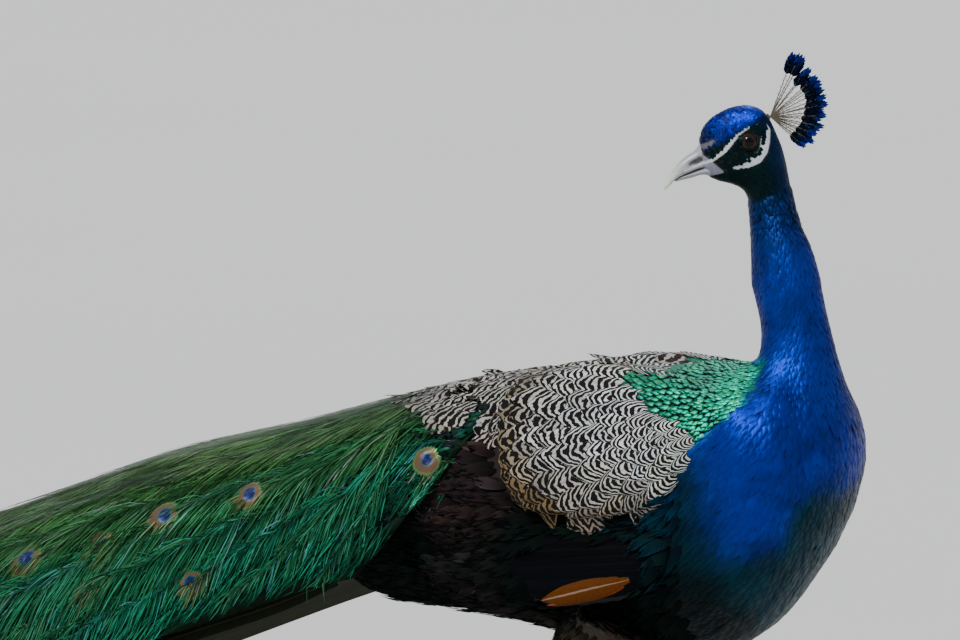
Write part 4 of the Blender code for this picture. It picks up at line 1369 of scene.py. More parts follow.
class PEACOCK_OT_barred_wings(bpy.types.Operator):
    """Barred coverts of both folded wings, fanned from the shoulder, and the barred feathers along the back"""

    bl_idname = "peacock.barred_wings"
    bl_label = "Barred wing feathers"

    def execute(self, context):
        rng = default_rng(12)
        for side, sign in SIDES.items():
            self.coverts(context.scene.peacock_sizes, side, sign, rng)
        self.back(context.scene.peacock_sizes, rng)
        return {"FINISHED"}

    def coverts(self, sizes, side, sign, rng):
        """Rows round the shoulder; the feathers grow towards the rear."""
        ground = surface("skin")
        up = np.array((0, sign * math.cos(math.radians(30)), math.sin(math.radians(30))))
        starts, wides = [], []
        r, row = 5.0, 0
        while r < 222:
            grown = ease(15, 120, r)
            wide = sizes.barred_step / MM * (0.52 + 0.92 * grown)
            turn = 0.60 * wide / max(r, 8)
            for a in np.arange(2.5, 5.1, turn) + (row % 2) * turn / 2:
                place = np.array((SHOULDER[0] + r * math.cos(a), sign * 66, SHOULDER[1] + r * math.sin(a)))
                starts.append(world(place + rng.normal(0, 0.08 * wide, 3)) + up * 0.15)
                wides.append(wide)
            r += 0.56 * wide
            row += 1
        places, normals, parts, hit = ground.struck(starts, np.tile(-up, (len(starts), 1)))
        hit &= np.isin(parts, part_numbers(f"wing_{side}_coverts")) & (bird(places)[:, 2] > 351)
        hit &= ~mantle_on_wing(places)
        roots, normals, wides = places[hit], normals[hit], np.array(wides)[hit] * rng.uniform(0.88, 1.12, hit.sum())
        x, y, z = bird(roots).T
        ways = np.stack([x - SHOULDER[0] - 22, y * 0, z - SHOULDER[1] - 6], 1)
        ways = unit(unit(flat_on(ways, normals)) + rng.normal(0, 0.07, ways.shape))
        rear_edge = np.interp(z + ways[:, 2] * wides, COVERT_EDGE[0], COVERT_EDGE[1])
        room = np.maximum(x - rear_edge, 9) / np.maximum(-ways[:, 0], 0.3)
        room = np.minimum(room, np.maximum(z - 339, 7) / np.maximum(-ways[:, 2], 0.4))
        long = np.minimum(wides * 1.75, room) * MM * rng.uniform(0.92, 1.06, len(roots))
        vane = Vane(8, 6, leaf(0.6, 0.12, 0.7))
        points = laid(ground, vane, roots, ways, normals, long, wides * MM, 1.2 * MM + 0.05 * wides * MM,
                      base=0.15 * MM, curl=0.15, camber=0.05, tuck=0.9 * MM)
        rear = ease(30, -45, x)
        apart = (1 + 0.60 * ease(100, 30, x) + 0.95 * rear * ease(360, 405, z)
                 - 0.20 * ease(375, 350, z) * ease(60, 20, x))
        bar = sizes.bar_period * apart * rng.uniform(0.9, 1.1, len(roots))
        reach = (1 - vane.reach)[None] * (long / bar)[:, None] + rng.normal(0, 0.14, len(roots))[:, None]
        pale, buff = palette("pale_bar", "buff_bar")
        # Cream in front and above, more buff behind and below.
        duller = np.clip(ease(50, -50, x) * 0.85 + ease(410, 360, z) * 0.8, 0, 1)[:, None]
        stain = varied(pale + (buff - pale) * duller, rng, 0.16, 0.03)
        bow = (1.35 + 0.35 * rear) * wides * MM / 2 / bar
        coat_piece(f"coverts_{side}", barred_look(), "barred", vane, points, stain, patch=1.0, reach=reach, bow=bow,
                   slant=rng.normal(0, 0.35, len(roots)))

    def back(self, sizes, rng):
        """Long feathers over both shoulders and the middle of the back, with slanting bars."""
        ground = surface("skin", "train_core_base")
        starts, ways = [], []
        x, row = 96.0, 0
        while x > -196:
            for a in np.arange(-1.12, 1.12, 0.105) + (row % 2) * 0.0525:
                way = np.array((0, math.sin(a), math.cos(a)))
                starts.append(world((x + rng.normal(0, 1.2), rng.normal(0, 1.0), 345)) + way * 0.25)
                ways.append(-way)
            x -= 10.5
            row += 1
        places, normals, parts, hit = ground.struck(starts, ways)
        x, y, z = bird(places).T
        middle = (parts == FLESH.index("trunk")) & (x < 52) & (abs(y) < np.where(x < -30, 90, 44))
        behind = parts == -1
        wing_rear = np.isin(parts, part_numbers("wing")) & (x < -60)
        shoulders = np.isin(parts, part_numbers("wing_right_scapulars", "wing_left_scapulars"))
        hit &= shoulders | middle | behind | wing_rear
        hit &= ((z > 394) | (x < -115)) & ~mantle_on_wing(places)
        hit &= (x > BACK_END + 1.15 * abs(y)) & (normals[:, 2] > 0.15)
        roots, normals, x, y = places[hit], normals[hit], x[hit], y[hit]
        ways = unit(lie(roots, normals) + rng.normal(0, 0.08, roots.shape))
        grown = ease(60, -40, x)
        wide, long = (13 + 5 * grown) * MM, (26 + 18 * grown) * MM * rng.uniform(0.85, 1.08, len(roots))
        vane = Vane(8, 4, leaf(0.6, 0.15, 0.7))
        points = laid(ground, vane, roots, ways, normals, long, wide, 2.0 * MM, base=0.5 * MM, curl=0.15,
                      camber=0.05, tuck=0.9 * MM, span=3.5 * MM)
        bar = sizes.bar_period * (1.0 + 0.75 * grown)
        reach = (1 - vane.reach)[None] * (long / bar)[:, None] + rng.normal(0, 0.12, len(roots))[:, None]
        pale, buff, blush = palette("pale_bar", "buff_bar", "blush")
        stain = pale + (buff - pale) * 0.5 * grown[:, None]
        stain = stain * (1 - 0.45 * ease(-60, -180, x))[:, None]
        flush = np.clip(1.5 * np.exp(-(((x - 56) / 24) ** 2 + ((abs(y) - 32) / 15) ** 2)), 0, 0.95)
        stain = varied(stain + (blush - stain) * flush[:, None], rng, 0.14, 0.04)
        barred = 1 - flush
        reach = 0.97 + (reach - 0.97) * barred[:, None]
        coat_piece("back_feathers", barred_look(), "barred", vane, points, stain, patch=1.0, reach=reach,
                   bow=0.8 * barred, slant=-1.1 * grown * barred * np.sign(y))


# Folded quills: root (x, z) and tip (x, z) on the wing's outer face, width, layer above the skin, millimetres
SECONDARIES = [
    ((84, 333), (-136, 306), 20, 3.2), ((84, 326), (-126, 300), 19, 2.8), ((82, 319), (-114, 294), 18, 2.4),
    ((80, 312), (-101, 289), 17, 2.0), ((77, 306), (-86, 285), 16, 1.7), ((73, 300), (-70, 282), 15, 1.4),
    ((68, 295), (-52, 280), 14, 1.1), ((62, 291), (-34, 279), 13, 0.8), ((80, 341), (-128, 314), 18, 3.4),
]
PRIMARIES = [
    ((64, 303), (-16, 279), 15, 2.4), ((62, 297), (-8, 276), 10, 1.4), ((60, 308), (-4, 288), 9, 1.8),
]


class PEACOCK_OT_quills(bpy.types.Operator):
    """Blue-black secondaries and chestnut primaries of both folded wings"""

    bl_idname = "peacock.quills"
    bl_label = "Wing quills"

    def execute(self, context):
        rng = default_rng(16)
        ground = surface("skin")
        vanes = {"secondaries": Vane(16, 4, leaf(0.75, 0.25, 0.7)), "primaries": Vane(16, 4, leaf(0.55, 0.2, 0.3))}
        dark = ("secondaries", SECONDARIES, "secondary", "dark_quills", 110, quill_look("dark_quills", 0.003, 0.1))
        red = ("primaries", PRIMARIES, "rufous", "rufous_quills", 112, quill_look("rufous_quills", 0.5, 0.0))
        for name, rows, colour_name, slot, out, look in (dark, red):
            for side, sign in SIDES.items():
                start, end = (world([(row[k][0], sign * out, row[k][1]) for row in rows]) for k in (0, 1))
                roots, _ = ground.nearest(start)
                normals = np.tile((0.0, sign, 0.0), (len(rows), 1))
                long = np.linalg.norm(end - start, axis=1)
                wide, layer = (np.array([row[k] for row in rows]) * MM for k in (2, 3))
                points = laid(ground, vanes[name], roots, unit(end - start), normals, long, wide, 0.4 * MM,
                              base=layer * 0.55, camber=0.03)
                stain = varied(np.tile(palette(colour_name)[0], (len(rows), 1)), rng, 0.32, 0.10)
                coat_piece(f"{name}_{side}", look, slot, vanes[name], points, stain, patch=1.0)
        return {"FINISHED"}


# ---------------- crest

CREST_ROOT = (-24.2, 9.6)  # in the head's own millimetres (x, z)
CREST_FAN = (129, 240)  # degrees from the bill's way, first and last quill
CREST_REACH = (52, 36)
CREST_QUILLS = 22


class PEACOCK_OT_crest(bpy.types.Operator):
    """The fan of bare crest quills, each with a blue racket at its tip"""

    bl_idname = "peacock.crest"
    bl_label = "Crest"

    def execute(self, context):
        rng = default_rng(18)
        share = np.linspace(0, 1, CREST_QUILLS)
        share[1:-1] += rng.normal(0, 0.010, CREST_QUILLS - 2)
        angle = np.radians(CREST_FAN[0] + (CREST_FAN[1] - CREST_FAN[0]) * share)
        reach = CREST_REACH[0] + (CREST_REACH[1] - CREST_REACH[0]) * share**0.85
        reach = reach * rng.uniform(0.92, 1.0, CREST_QUILLS)
        reach[3:5] *= 0.93
        lean = np.where(np.arange(CREST_QUILLS) % 2, 1, -1) * rng.uniform(0.5, 4.5, CREST_QUILLS)
        way = np.stack([np.cos(angle), np.zeros(CREST_QUILLS), np.sin(angle)], 1)
        root = np.array((CREST_ROOT[0], 0, CREST_ROOT[1]))
        turn = np.array(TURN.to_3x3())

        def out(local):
            return local * MM @ turn.T + np.array(BETWEEN_EYES)

        def stem(distance):
            """Places on the quills, some way out; a quill leans a little to one side."""
            bow = (distance / reach[:, None]) ** 2
            place = root + way[:, None] * distance[..., None]
            place[..., 1] += lean[:, None] * bow
            return place

        steps = np.linspace(-0.1, 0.85, 9)
        lines = out(stem(reach[:, None] * steps))
        across = turn @ np.array((0.0, 1, 0))
        bare = Vane(8, 2)
        width = np.linspace(0.00085, 0.0006, 9)[None]
        points = strands(bare, lines, across, width, ridge=0.0003)
        pale = varied(np.tile((0.075, 0.062, 0.034), (CREST_QUILLS, 1)), rng, 0.35)
        stems = coat_piece("crest_stems", shaft_look(), "crest", bare, points, pale)

        barb = Vane(3, 1)
        count, lines, widths, stains = 44, [], [], []
        navy, blue, teal = np.array([(0.001, 0.003, 0.016), (0.005, 0.016, 0.26), (0.002, 0.03, 0.035)])
        for k in range(CREST_QUILLS):
            start = np.interp(share[k], (0, 0.35, 0.7, 1), (0.71, 0.69, 0.62, 0.62))
            for j in range(count):
                side, step = (1 if j % 2 else -1), (j // 2) / (count // 2 - 1)
                at = reach[k] * (start + (0.95 - start) * step)
                size = reach[k] * (0.05 + 0.085 * math.sin(math.pi * (0.2 + 0.62 * step))) * rng.uniform(0.85, 1.15)
                open_by = math.radians(64 - 46 * step)
                line = []
                for t in np.linspace(0, 1, 4):
                    a = angle[k] + side * open_by * (1 - 0.3 * t)
                    place = root + way[k] * at + np.array((math.cos(a), 0, math.sin(a))) * size * t
                    place[1] += lean[k] * ((at + size * t) / reach[k]) ** 2 + rng.normal(0, 0.3)
                    line.append(place)
                lines.append(line)
                widths.append(rng.uniform(1.0, 1.6))
                outer = ease(0.50, 1.0, step + rng.normal(0, 0.14))
                # Painted glints: about one barb in eight gets teal added to its colour.
                gloss = rng.random()
                tone = (navy + (blue - navy) * outer) * rng.uniform(0.6, 1.3)
                stains.append(tone + (teal - navy) * (gloss > 0.88) * 0.8)
            for j in range(9):
                side, at = (1 if j % 2 else -1), reach[k] * (0.22 + (start - 0.24) * j / 8)
                line = [root + way[k] * (at + 2.6 * t) + np.array((-way[k][2], 0, way[k][0])) * side * 1.6 * t
                        + np.array((0, lean[k] * (at / reach[k]) ** 2, 0)) for t in np.linspace(0, 1, 4)]
                lines.append(line)
                widths.append(0.30)
                stains.append(np.array((0.055, 0.048, 0.03)))
        lines = out(np.array(lines))
        taper = np.array((0.7, 1.0, 0.9, 0.45))
        points = strands(barb, lines, across, np.array(widths)[:, None] * taper * MM)
        rackets = coat_piece("crest_rackets", herl_look(), "crest", barb, points, np.array(stains))
        with bpy.context.temp_override(active_object=rackets, selected_editable_objects=[rackets, stems]):
            bpy.ops.object.join()
        rackets.name = "crest_feathers"
        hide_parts("crest")
        return {"FINISHED"}


# ---------------- tail and train

# Tail stations: x, height of the middle, half width, how far the edges droop, millimetres
TAIL = [
    (-222, 302, 62, 26), (-262, 288, 90, 33), (-335, 262, 107, 34), (-450, 221, 116, 37), (-590, 168, 118, 36),
    (-630, 154, 98, 25),
]
TAIL_FEATHERS = 20


class PEACOCK_OT_tail(bpy.types.Operator):
    """The stiff tail under the train: twenty quills that overlap from the middle out"""

    bl_idname = "peacock.tail"
    bl_label = "Tail"

    def execute(self, context):
        rng = default_rng(20)
        share = np.linspace(-0.93, 0.93, TAIL_FEATHERS)
        order = abs(share)
        stations = curve(TAIL, 17)
        x, middle, half, droop = (stations[None, :, k] for k in range(4))
        trim = 1 - 0.05 * order[:, None] * np.linspace(0, 1, 17)[None] ** 2
        y = share[:, None] * half
        z = middle - droop * share[:, None] ** 2 - 1.5 - 4.0 * order[:, None]
        lines = world(np.stack([np.broadcast_to(x, y.shape) * trim + 0 * y, y, z], -1))
        slope = 2 * droop * share[:, None] / half
        out = unit(np.stack([0.3 + 0 * y, slope + 0 * y, 1 + 0 * y], -1))
        round_tip = np.sqrt(np.clip(1 - np.clip((np.linspace(0, 1, 17) - 0.9) / 0.1, 0, 1) ** 2, 0.03, 1))
        widths = half * 2 / TAIL_FEATHERS * 2.0 * MM * round_tip[None]
        vane = Vane(16, 4)
        points = strands(vane, lines, out, widths, ridge=0.0008)
        stain = varied(np.tile(palette("tail")[0], (TAIL_FEATHERS, 1)), rng, 0.12, 0.05)
        coat_piece("tail_feathers", quill_look(), "tail", vane, points, stain, ["tail"], patch=1.0)
        return {"FINISHED"}


@functools.cache
def train_slices():
    """The train's ridge height, rim height and half width along it, read from the solids."""
    solid = BVHTree.FromBMesh(cad_copy(TRAIN_PARTS))
    rows = []
    for x in np.linspace(-180, -1446, 64):
        at = x * MM + HOME[0]
        ridge = solid.ray_cast(Vector((at, 0, 1)), Vector((0, 0, -1)))[0].z
        hits = [solid.ray_cast(Vector((at, 1, z)), Vector((0, -1, 0)))[0] for z in np.linspace(0.0015, ridge, 40)]
        hits = [hit for hit in hits if hit]
        half = max(hit.y for hit in hits)
        edge = min(hit.z for hit in hits if hit.y > 0.8 * half)
        rows.append((x, ridge, edge, half))
    return np.array(rows)[::-1]


def train_place(x, turn):
    """Places on the train, by the bird's x and by turn: -1 at the right edge, 0 on the ridge, 1 at the left."""
    x, turn = np.broadcast_arrays(np.asarray(x, float), np.asarray(turn, float))
    rows = train_slices()
    ridge, edge, half = (np.interp(x, rows[:, 0], rows[:, k]) for k in (1, 2, 3))
    a = turn * math.pi / 2
    y = np.sign(a) * abs(np.sin(a)) ** 0.85 * half
    z = edge + (ridge - edge) * np.cos(a) ** 0.85
    return np.stack([x * MM + HOME[0], y, z], -1)


CORE_DEPTH = 0.0022  # how far under the solid's outer face the train's under layer lies


class PEACOCK_OT_train_core(bpy.types.Operator):
    """The dark under layer of the train, in four lengths"""

    bl_idname = "peacock.train_core"
    bl_label = "Under train"

    def execute(self, context):
        for name in TRAIN_PARTS:
            bm = cad_copy([name])
            long_edges = [edge for edge in bm.edges if edge.calc_length() > 0.012]
            bmesh.ops.subdivide_edges(bm, edges=long_edges, cuts=1, use_grid_fill=True)
            bmesh.ops.triangulate(bm, faces=bm.faces)
            low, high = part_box(name)
            points, normals = coordinates(bm), vertex_normals(bm)
            rear, front = points[:, 0] < low.x + 0.001, points[:, 0] > high.x - 0.001
            open_end = (rear & (name != "train_end")) | (front & (name != "train_base"))
            normals[open_end, 0] = 0
            rows = train_slices()
            edge = np.interp(bird(points)[:, 0], rows[:, 0], rows[:, 2])
            radial = np.stack([points[:, 0] * 0, points[:, 1], np.maximum(points[:, 2] - edge, 0) + 0.004], 1)
            outer = ease(0.0, 0.3, (unit(normals) * unit(radial)).sum(1))
            points = points - unit(normals) * (CORE_DEPTH * outer)[:, None]
            put_back(bm, points)
            bm.faces.layers.int.remove(bm.faces.layers.int["part"])
            core = f"train_core_{name[6:]}"
            mesh = mesh_of(core, bm)
            under = ease(-0.010, -0.024, points[:, 2] - edge)
            # Painted shade: the under layer is near-black green, standing for the shade deep among the barbs; from
            # 10 mm below the rim it turns grey-brown.
            stain = np.array((0.004, 0.018, 0.009)) + under[:, None] * np.array((0.035, 0.032, 0.024))
            add_colours(mesh, stain)
            object_of(core, mesh, core_look(), [name])
        return {"FINISHED"}


CORES = [f"train_core_{name[6:]}" for name in TRAIN_PARTS]
TRAIN_REARS = [bird(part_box(name)[0])[0] for name in TRAIN_PARTS]  # where each length ends (x), millimetres
BRIGHTEST = 0.32  # no barb of the train is lighter
# Eye spots that show on the bird's right flank: x, turn
SHOWN_EYES = [
    (-122, -0.62), (-273, -0.59), (-345, -0.58), (-312, -0.87), (-395, -0.65), (-400, -0.80), (-464, -0.60),
]


def train_tips(rng):
    """Where the train's feathers end, as rows of (x, turn, has an eye spot): rows set between one another."""
    tips = [(x, turn, True) for x, turn in SHOWN_EYES]
    x, row = -92.0, 0
    while x > -1425:
        gap = 34 + 14 * ease(-150, -260, x) + 16 * ease(-300, -1000, x)
        half, ridge, edge = (np.interp(x, train_slices()[:, 0], train_slices()[:, k]) / MM for k in (3, 1, 2))
        around = 2.2 * math.hypot(half, ridge - edge)
        count = max(3, round(around / gap))
        for k in range(count):
            turn = -0.95 + 1.90 * (k + 0.5 * (row % 2)) / count + rng.normal(0, 0.012)
            place = x + rng.normal(0, 6)
            near = min(math.hypot(place - sx, (turn - st) * around / 2) for sx, st in SHOWN_EYES)
            shown_side = -0.97 < turn < 0.35 and x > -560
            if place > root_line(turn) - 22:
                continue
            if turn < 0.96 and (near > 36 or not shown_side):
                tips.append((place, turn, not shown_side and x < -235))
        x -= gap * 0.78
        row += 1
    for turn in np.linspace(-0.9, 0.9, 26):
        tips.append((-1436 + 10 * rng.random(), turn, False))
    return np.array(tips, float)


def root_line(turn):
    """How far forward the train's feathers start, by turn: a point on each flank, well behind it on the ridge."""
    return np.interp(abs(turn), (0, 0.25, 0.45, 0.62, 0.8, 1), (-176, -155, -125, -100, -116, -146))


OUTWARD = 0.012  # how far outside the train a feather's path is drawn before it settles


def feather_path(tip_x, tip_turn, count, length_mm):
    """The last stretch of a train feather's shaft, towards its tip, and how far along each place is."""
    share = np.linspace(0, 1, count)
    x = tip_x + length_mm * (1 - share)
    whole = np.clip((x + 150) / (tip_x + 150 - 1e-6), 0, 1) if tip_x < -160 else np.ones(count)
    turn = tip_turn * (0.72 + 0.28 * whole)
    x = np.minimum(x, root_line(turn) + 0.04 * (x - tip_x))
    places = train_place(np.minimum(x, -182), turn)
    places[:, 0] = x * MM + HOME[0]
    places[:, 2] += 0.30 * MM * np.maximum(x + 182, 0)
    a = turn * math.pi / 2
    return places + np.stack([a * 0, np.sin(a), 0.5 * np.cos(a)], -1) * OUTWARD, share


def fallen(ground, stem, tangent, out, sign, size, open_by, droop, cap):
    """Barbs from a shaft: each opens to its side, bends along it and sags, over the layer below or free."""
    side = np.cross(out, tangent) * sign
    fall = np.array((0, 0, -1.0)) + out * out[:, 2:]
    line = [stem]
    for k in range(3):
        angle = open_by * (1 - 0.22 * k)
        way = tangent * np.cos(angle)[:, None] + side * np.sin(angle)[:, None] + fall * (droop * (0.6 + 0.5 * k))
        line.append(line[-1] + unit(way) * (size / 3)[:, None])
    line = np.stack(line, 1)
    settled, up = ground.nearest(line)
    inner = (up * out[:, None]).sum(-1) < 0.1
    up = np.where(inner[..., None], out[:, None], up)
    away = line - settled
    height = (away * up).sum(-1)
    height = np.where(inner, np.maximum(height, 0.006), height)
    hangs = (np.linalg.norm(away, axis=-1) > 1.4 * abs(height) + 0.002)[..., None]
    resting = settled + up * np.clip(height, 0.0006, cap[:, None])[..., None]
    line = np.where(hangs, line, resting)
    line[..., 2] = np.maximum(line[..., 2], 0.0006)
    return line, up


class PEACOCK_OT_train_feathers(bpy.types.Operator):
    """Loose barbs and shafts of the train's feathers, in four lengths"""

    bl_idname = "peacock.train_feathers"
    bl_label = "Train feathers"

    def execute(self, context):
        rng = default_rng(22)
        sizes = context.scene.peacock_sizes
        green, teal, bronze = palette("train", "train_low", "train_top")
        tips = train_tips(rng)
        stretch = 215.0
        rooted = {name: [] for name in TRAIN_PARTS}
        for tip_x, tip_turn, spotted in tips:
            places, share = feather_path(tip_x, tip_turn, int(stretch / (sizes.barb_step / MM)), stretch)
            part = next((name for name, low in zip(TRAIN_PARTS, TRAIN_REARS) if tip_x + 60 > low), "train_end")
            rooted[part].append((places, share, tip_turn, spotted))
        barb, shaft = Vane(3, 1), Vane(12, 2)
        for part in TRAIN_PARTS:
            ground = surface(*CORES, "skin") if part == "train_base" else surface(*CORES)
            lines, ups, widths, stains, stem_lines, stem_outs = [], [], [], [], [], []
            for places, share, tip_turn, spotted in rooted[part]:
                settled, out = ground.outside(places)
                tangent = unit(np.gradient(places, axis=0))
                out = unit(flat_on(out, tangent))
                held = np.clip(((places - settled) * out).sum(1) - OUTWARD, 0, 0.030)
                held = held * ease(-128, -185, bird(places)[:, 0])
                rise = (1.0 + 2.6 * share**1.5) * MM + held
                stem = settled + out * rise[:, None]
                pick = np.linspace(0.3 * len(stem), len(stem) - 1, 13).astype(int)
                stem_lines.append(stem[pick] - out[pick] * 0.0007)
                stem_outs.append(out[pick])
                long = np.interp(share, (0, 0.35, 0.8, 0.93, 1), (24, 40, 42, 32, 22 if spotted else 36)) * MM
                long = long * (1 - 0.35 * ease(0.75, 0.93, abs(tip_turn)))
                free = np.linalg.norm(np.gradient(places, axis=0), axis=1) > 0.0006
                stem, tangent, out, rise, long, share = (a[free] for a in (stem, tangent, out, rise, long, share))
                # shade: a random brightness for each feather, partly random tone and partly painted light and shade
                # on clumps of barbs.
                tilt, shade = rng.normal(0, 0.5), math.exp(rng.normal(0, 0.32))
                for sign in (-1, 1):
                    size = long * rng.uniform(0.7, 1.25, len(share))
                    open_by = np.radians(np.clip(rng.normal(42, 9, len(share)) - 16 * share, 8, 80))
                    cap = rise + (0.6 + 2.6 * rng.random(len(share)) ** 2) * MM
                    line, up = fallen(ground, stem, tangent, out, sign, size, open_by, 0.62, cap)
                    lines.append(line)
                    ups.append(up)
                    widths.append(rng.uniform(0.65, 1.2, len(share)))
                    top = ease(0.62, 0.2, abs(tip_turn)) * 0.9
                    base = green + (bronze - green) * top
                    low = np.clip(ease(0.45, 0.85, abs(tip_turn)) * 0.8 + 0.3 * tilt, 0, 1)
                    base = base + (teal - base) * low
                    # Partly random tone, partly painted light and shade: a wide random brightness leaves some barbs
                    # near black, as the dark gaps deep among them.
                    light = np.exp(rng.normal(-0.30, 0.85, (len(share), 1))) * shade
                    tone = base * light
                    # Painted highlights: about one barb in fourteen is lightened towards pale green as a glint.
                    painted_glint = (rng.random((len(share), 1)) < 0.07) * 0.4
                    tone = tone + (np.array((0.10, 0.24, 0.10)) - tone) * painted_glint
                    near_eye = ease(0.84, 0.97, share)[:, None] * (0.6 if spotted else 0.1)
                    stains.append(tone + (np.array((0.13, 0.12, 0.045)) * light - tone) * near_eye)
            line, up, stain = self.rim_barbs(part, ground, rng, teal)
            lines, ups = np.concatenate([*lines, line]), np.concatenate([*ups, up])
            stains.append(stain)
            widths.append(rng.uniform(0.65, 1.2, len(stain)))
            taper = np.array((0.7, 1.0, 0.8, 0.25))
            widths = np.concatenate(widths)[:, None] * taper * sizes.barb_width
            points = strands(barb, lines, ups, widths)
            stain = np.minimum(np.concatenate(stains), BRIGHTEST)
            coat_piece(f"{part}_barbs", herl_look(), "train", barb, points, stain)
            stem_wide = np.linspace(0.0007, 0.0004, 13)
            points = strands(shaft, np.array(stem_lines), np.array(stem_outs), stem_wide[None], ridge=0.0004)
            pale = varied(np.tile((0.008, 0.014, 0.006), (len(stem_lines), 1)), rng, 0.35)
            coat_piece(f"{part}_shafts", shaft_look(), "train", shaft, points, pale)
        context.scene["train_tips"] = [value for tip in tips for value in tip]
        return {"FINISHED"}

    def rim_barbs(self, part, ground, rng, teal):
        """Loose barbs low on both flanks, which hang over the train's rim."""
        def low_band(places, normals):
            (x, y, _), rows = bird(places).T, train_slices()
            high = places[:, 2] - np.interp(x, rows[:, 0], rows[:, 2])
            return (high > 0.001) & (high < 0.042) & (normals[:, 1] * np.sign(y) > 0.2)

        roots, out = surface(f"train_core_{part[6:]}").scatter(0.0033, 23, low_band)
        tangent = np.array((-1.0, 0, -0.30)) + rng.normal(0, 0.12, roots.shape)
        tangent = unit(flat_on(tangent, out))
        size = rng.uniform(18, 34, len(roots)) * MM * ease(-0.004, 0.030, roots[:, 2])
        open_by = np.radians(np.clip(rng.normal(34, 12, len(roots)), 6, 70))
        cap = rng.uniform(1.6, 5.0, len(roots)) * MM
        sign = -np.sign(roots[:, 1:2])
        line, up = fallen(ground, roots + out * 0.001, tangent, out, sign, size, open_by, 0.4, cap)
        # Partly random tone, partly painted light and shade: a wide random brightness leaves some barbs near black.
        return line, up, teal * np.exp(rng.normal(-0.35, 0.75, (len(roots), 1)))


class PEACOCK_OT_train_eyes(bpy.types.Operator):
    """The eye spots of the train"""

    bl_idname = "peacock.train_eyes"
    bl_label = "Train eyes"

    def execute(self, context):
        rng = default_rng(24)
        ground = surface(*CORES)
        full = context.scene.peacock_sizes.eye_spot
        tips = np.array(context.scene["train_tips"]).reshape(-1, 3)
        tips = tips[tips[:, 2] > 0.5]
        disc = Vane(12, 12)
        x, y = disc.across, disc.along * 2 - 1
        round_x, round_y = x * np.sqrt(1 - y * y / 2), y * np.sqrt(1 - x * x / 2)
        disc.across, disc.along = round_x, round_y / 2 + 0.5
        edge = np.hypot(round_x, round_y)
        angle = np.arctan2(round_x, round_y)
        for name, low, high in zip(TRAIN_PARTS, TRAIN_REARS, [0, *TRAIN_REARS]):
            here = tips[(tips[:, 0] >= low) & (tips[:, 0] < high)]
            points = []
            for tip_x, tip_turn, _ in here:
                places, _ = feather_path(tip_x, tip_turn, 8, 60.0)
                settled, out = ground.outside(places)
                way = unit(settled[-1] - settled[-4])
                side = np.cross(out[-1], way)
                grown = 0.50 + 0.06 * ease(-200, -260, tip_x) + 0.44 * ease(-250, -700, tip_x)
                half = full / 2 * grown * rng.uniform(0.92, 1.06)
                fringe = 1 + 0.05 * np.cos(angle * 24) * (edge > 0.9)
                flat = side * (round_x * fringe)[:, None] + way * (round_y * fringe * 1.14)[:, None]
                place, up = ground.nearest(settled[-1] + flat * half)
                points.append(place + up * ((4.6 - 1.5 * edge**2) * MM)[:, None])
            points = np.array(points)
            stain = np.tile((0.05, 0.1, 0.05), (len(points), 1))
            spoke = np.broadcast_to(abs(angle)[None] * 7.0, points.shape[:2])
            coat_piece(f"{name}_eyes", eye_spot_look(), "train", disc, points, stain, patch=1.0, spoke=spoke)
        return {"FINISHED"}


# ---------------- legs

class PEACOCK_OT_legs(bpy.types.Operator):
    """Horny scales of shanks and toes"""

    bl_idname = "peacock.legs"
    bl_label = "Leg scales"

    def execute(self, context):
        rng = default_rng(26)
        ground = surface("skin")

        def above_floor(places, normals):
            return (places[:, 2] > 0.0022) & (normals[:, 2] > -0.6)

        vane = Vane(3, 2, leaf(0.5, 0.6, 0.8))
        for part, step, long, wide in (("shank", 2.9, 4.4, 3.9), ("foot", 2.3, 3.4, 3.0)):
            roots, normals = ground.scatter(step * MM, 27, above_floor, part_numbers(part))
            ways = lie(roots, normals)
            size = rng.uniform(0.9, 1.1, len(roots)) * MM
            points = laid(ground, vane, roots, ways, normals, long * size, wide * size, 0.35 * MM, base=0.02 * MM,
                          curl=0.5, camber=0.04, tuck=0.3 * MM)
            coat_piece(f"{part}_scales", scute_look(), "leg", vane, points, varied(dye(roots), rng, 0.15))
        return {"FINISHED"}


# ---------------- stage

VIEW_TARGET = (-43.6, -136.8, 495.8)  # where the camera looks, in the bird's millimetres
VIEW_AZIMUTH, VIEW_HEIGHT, VIEW_DISTANCE = 32.0, 8.0, 8.0
VIEW_WIDTH = 0.7104  # what the frame takes in at the target


def looking_in(name, data, azimuth, height):
    """A lamp or camera turned towards the bird from a bearing round it, and the way out to it."""
    made = in_scene(name, data)
    a, e = math.radians(azimuth), math.radians(height)
    out = Vector((math.sin(a) * math.cos(e), -math.cos(a) * math.cos(e), math.sin(e)))
    made.rotation_euler = (-out).to_track_quat("-Z", "Y").to_euler()
    return made, out


def sun(name, azimuth, height, strength, spread):
    """A soft light."""
    lamp = bpy.data.lights.new(name, "SUN")
    lamp.energy, lamp.angle = strength, math.radians(spread)
    looking_in(name, lamp, azimuth, height)


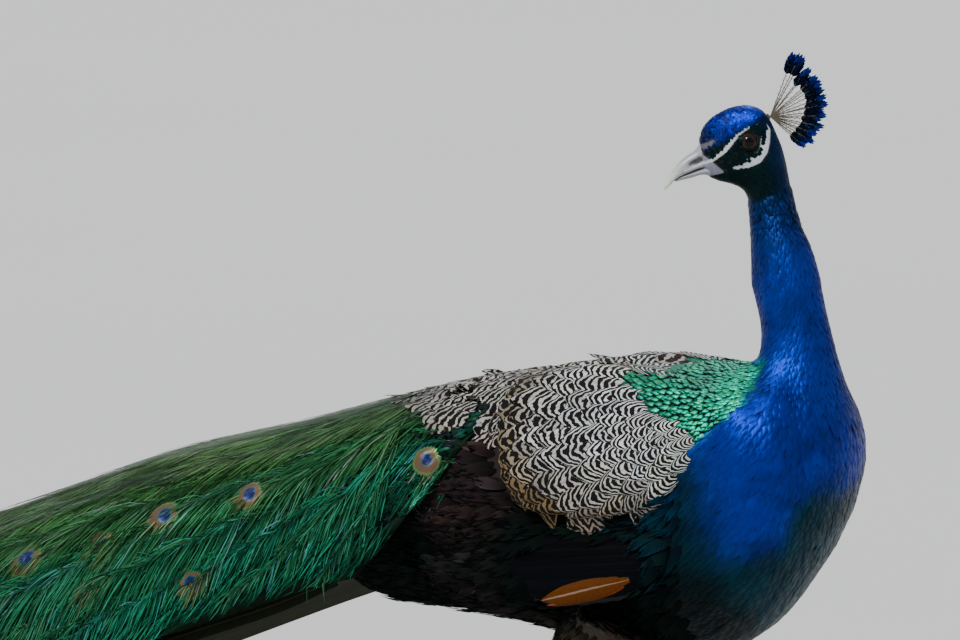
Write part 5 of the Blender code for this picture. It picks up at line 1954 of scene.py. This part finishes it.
class PEACOCK_OT_stage(bpy.types.Operator):
    """Pale floor, soft daylight and the camera"""

    bl_idname = "peacock.stage"
    bl_label = "Floor, light and camera"

    def execute(self, context):
        bm = bmesh.new()
        bmesh.ops.create_circle(bm, cap_ends=True, segments=96, radius=80)
        bmesh.ops.translate(bm, vec=(0, 0, -0.0003), verts=bm.verts)
        look = Look("floor", 0.9)
        look.paint(look.mix(look.noise(0.7, 3), rgba(0.56, 0.55, 0.53), rgba(0.60, 0.59, 0.57)))
        floor = in_scene("floor", mesh_of("floor", bm))
        floor.data.materials.append(look.material)

        camera = bpy.data.cameras.new("camera")
        camera.sensor_width = 36
        camera.lens = camera.sensor_width * VIEW_DISTANCE / VIEW_WIDTH
        camera.clip_end = 300
        made, out = looking_in("camera", camera, VIEW_AZIMUTH, VIEW_HEIGHT)
        made.location = Vector(world(VIEW_TARGET)) + out * VIEW_DISTANCE
        context.scene.camera = made

        sun("key", VIEW_AZIMUTH - 30, 52, 3.85, 14)
        sun("fill", VIEW_AZIMUTH + 70, 28, 0.12, 40)
        sun("rim", VIEW_AZIMUTH + 180, 45, 0.8, 30)
        context.scene.world = bpy.data.worlds.new("daylight")
        context.scene.world.use_nodes = True
        sky = context.scene.world.node_tree.nodes["Background"]
        sky.inputs["Color"].default_value = (0.80, 0.87, 1.0, 1)
        sky.inputs["Strength"].default_value = 0.52
        return {"FINISHED"}


# ---------------- panel and run

PIECES = (
    PEACOCK_OT_skin, PEACOCK_OT_bill, PEACOCK_OT_eyes, PEACOCK_OT_claws, PEACOCK_OT_train_core,
    PEACOCK_OT_head_feathers, PEACOCK_OT_neck_feathers, PEACOCK_OT_body_fluff, PEACOCK_OT_back_scales,
    PEACOCK_OT_barred_wings, PEACOCK_OT_quills, PEACOCK_OT_crest, PEACOCK_OT_tail, PEACOCK_OT_train_feathers,
    PEACOCK_OT_train_eyes, PEACOCK_OT_legs, PEACOCK_OT_stage,
)


class PEACOCK_PT_panel(bpy.types.Panel):
    """Lists the bird's pieces in the order in which they are made"""

    bl_idname = "PEACOCK_PT_panel"
    bl_label = "Peacock"
    bl_space_type = "VIEW_3D"
    bl_region_type = "UI"
    bl_category = "Peacock"

    def draw(self, context):
        for group in (context.scene.peacock_sizes, context.scene.peacock_colours):
            for key in group.__annotations__:
                self.layout.prop(group, key)
        for piece in PIECES:
            self.layout.operator(piece.bl_idname)


CLASSES = (PeacockSizes, PeacockColours, *PIECES, PEACOCK_PT_panel)


def register():
    for item in CLASSES:
        bpy.utils.register_class(item)
    bpy.types.Scene.peacock_sizes = bpy.props.PointerProperty(type=PeacockSizes)
    bpy.types.Scene.peacock_colours = bpy.props.PointerProperty(type=PeacockColours)


def unregister():
    del bpy.types.Scene.peacock_sizes
    del bpy.types.Scene.peacock_colours
    for item in reversed(CLASSES):
        bpy.utils.unregister_class(item)


def main():
    register()
    for piece in PIECES:
        group, name = piece.bl_idname.split(".")
        getattr(getattr(bpy.ops, group), name)()


if __name__ == "__main__":
    main()
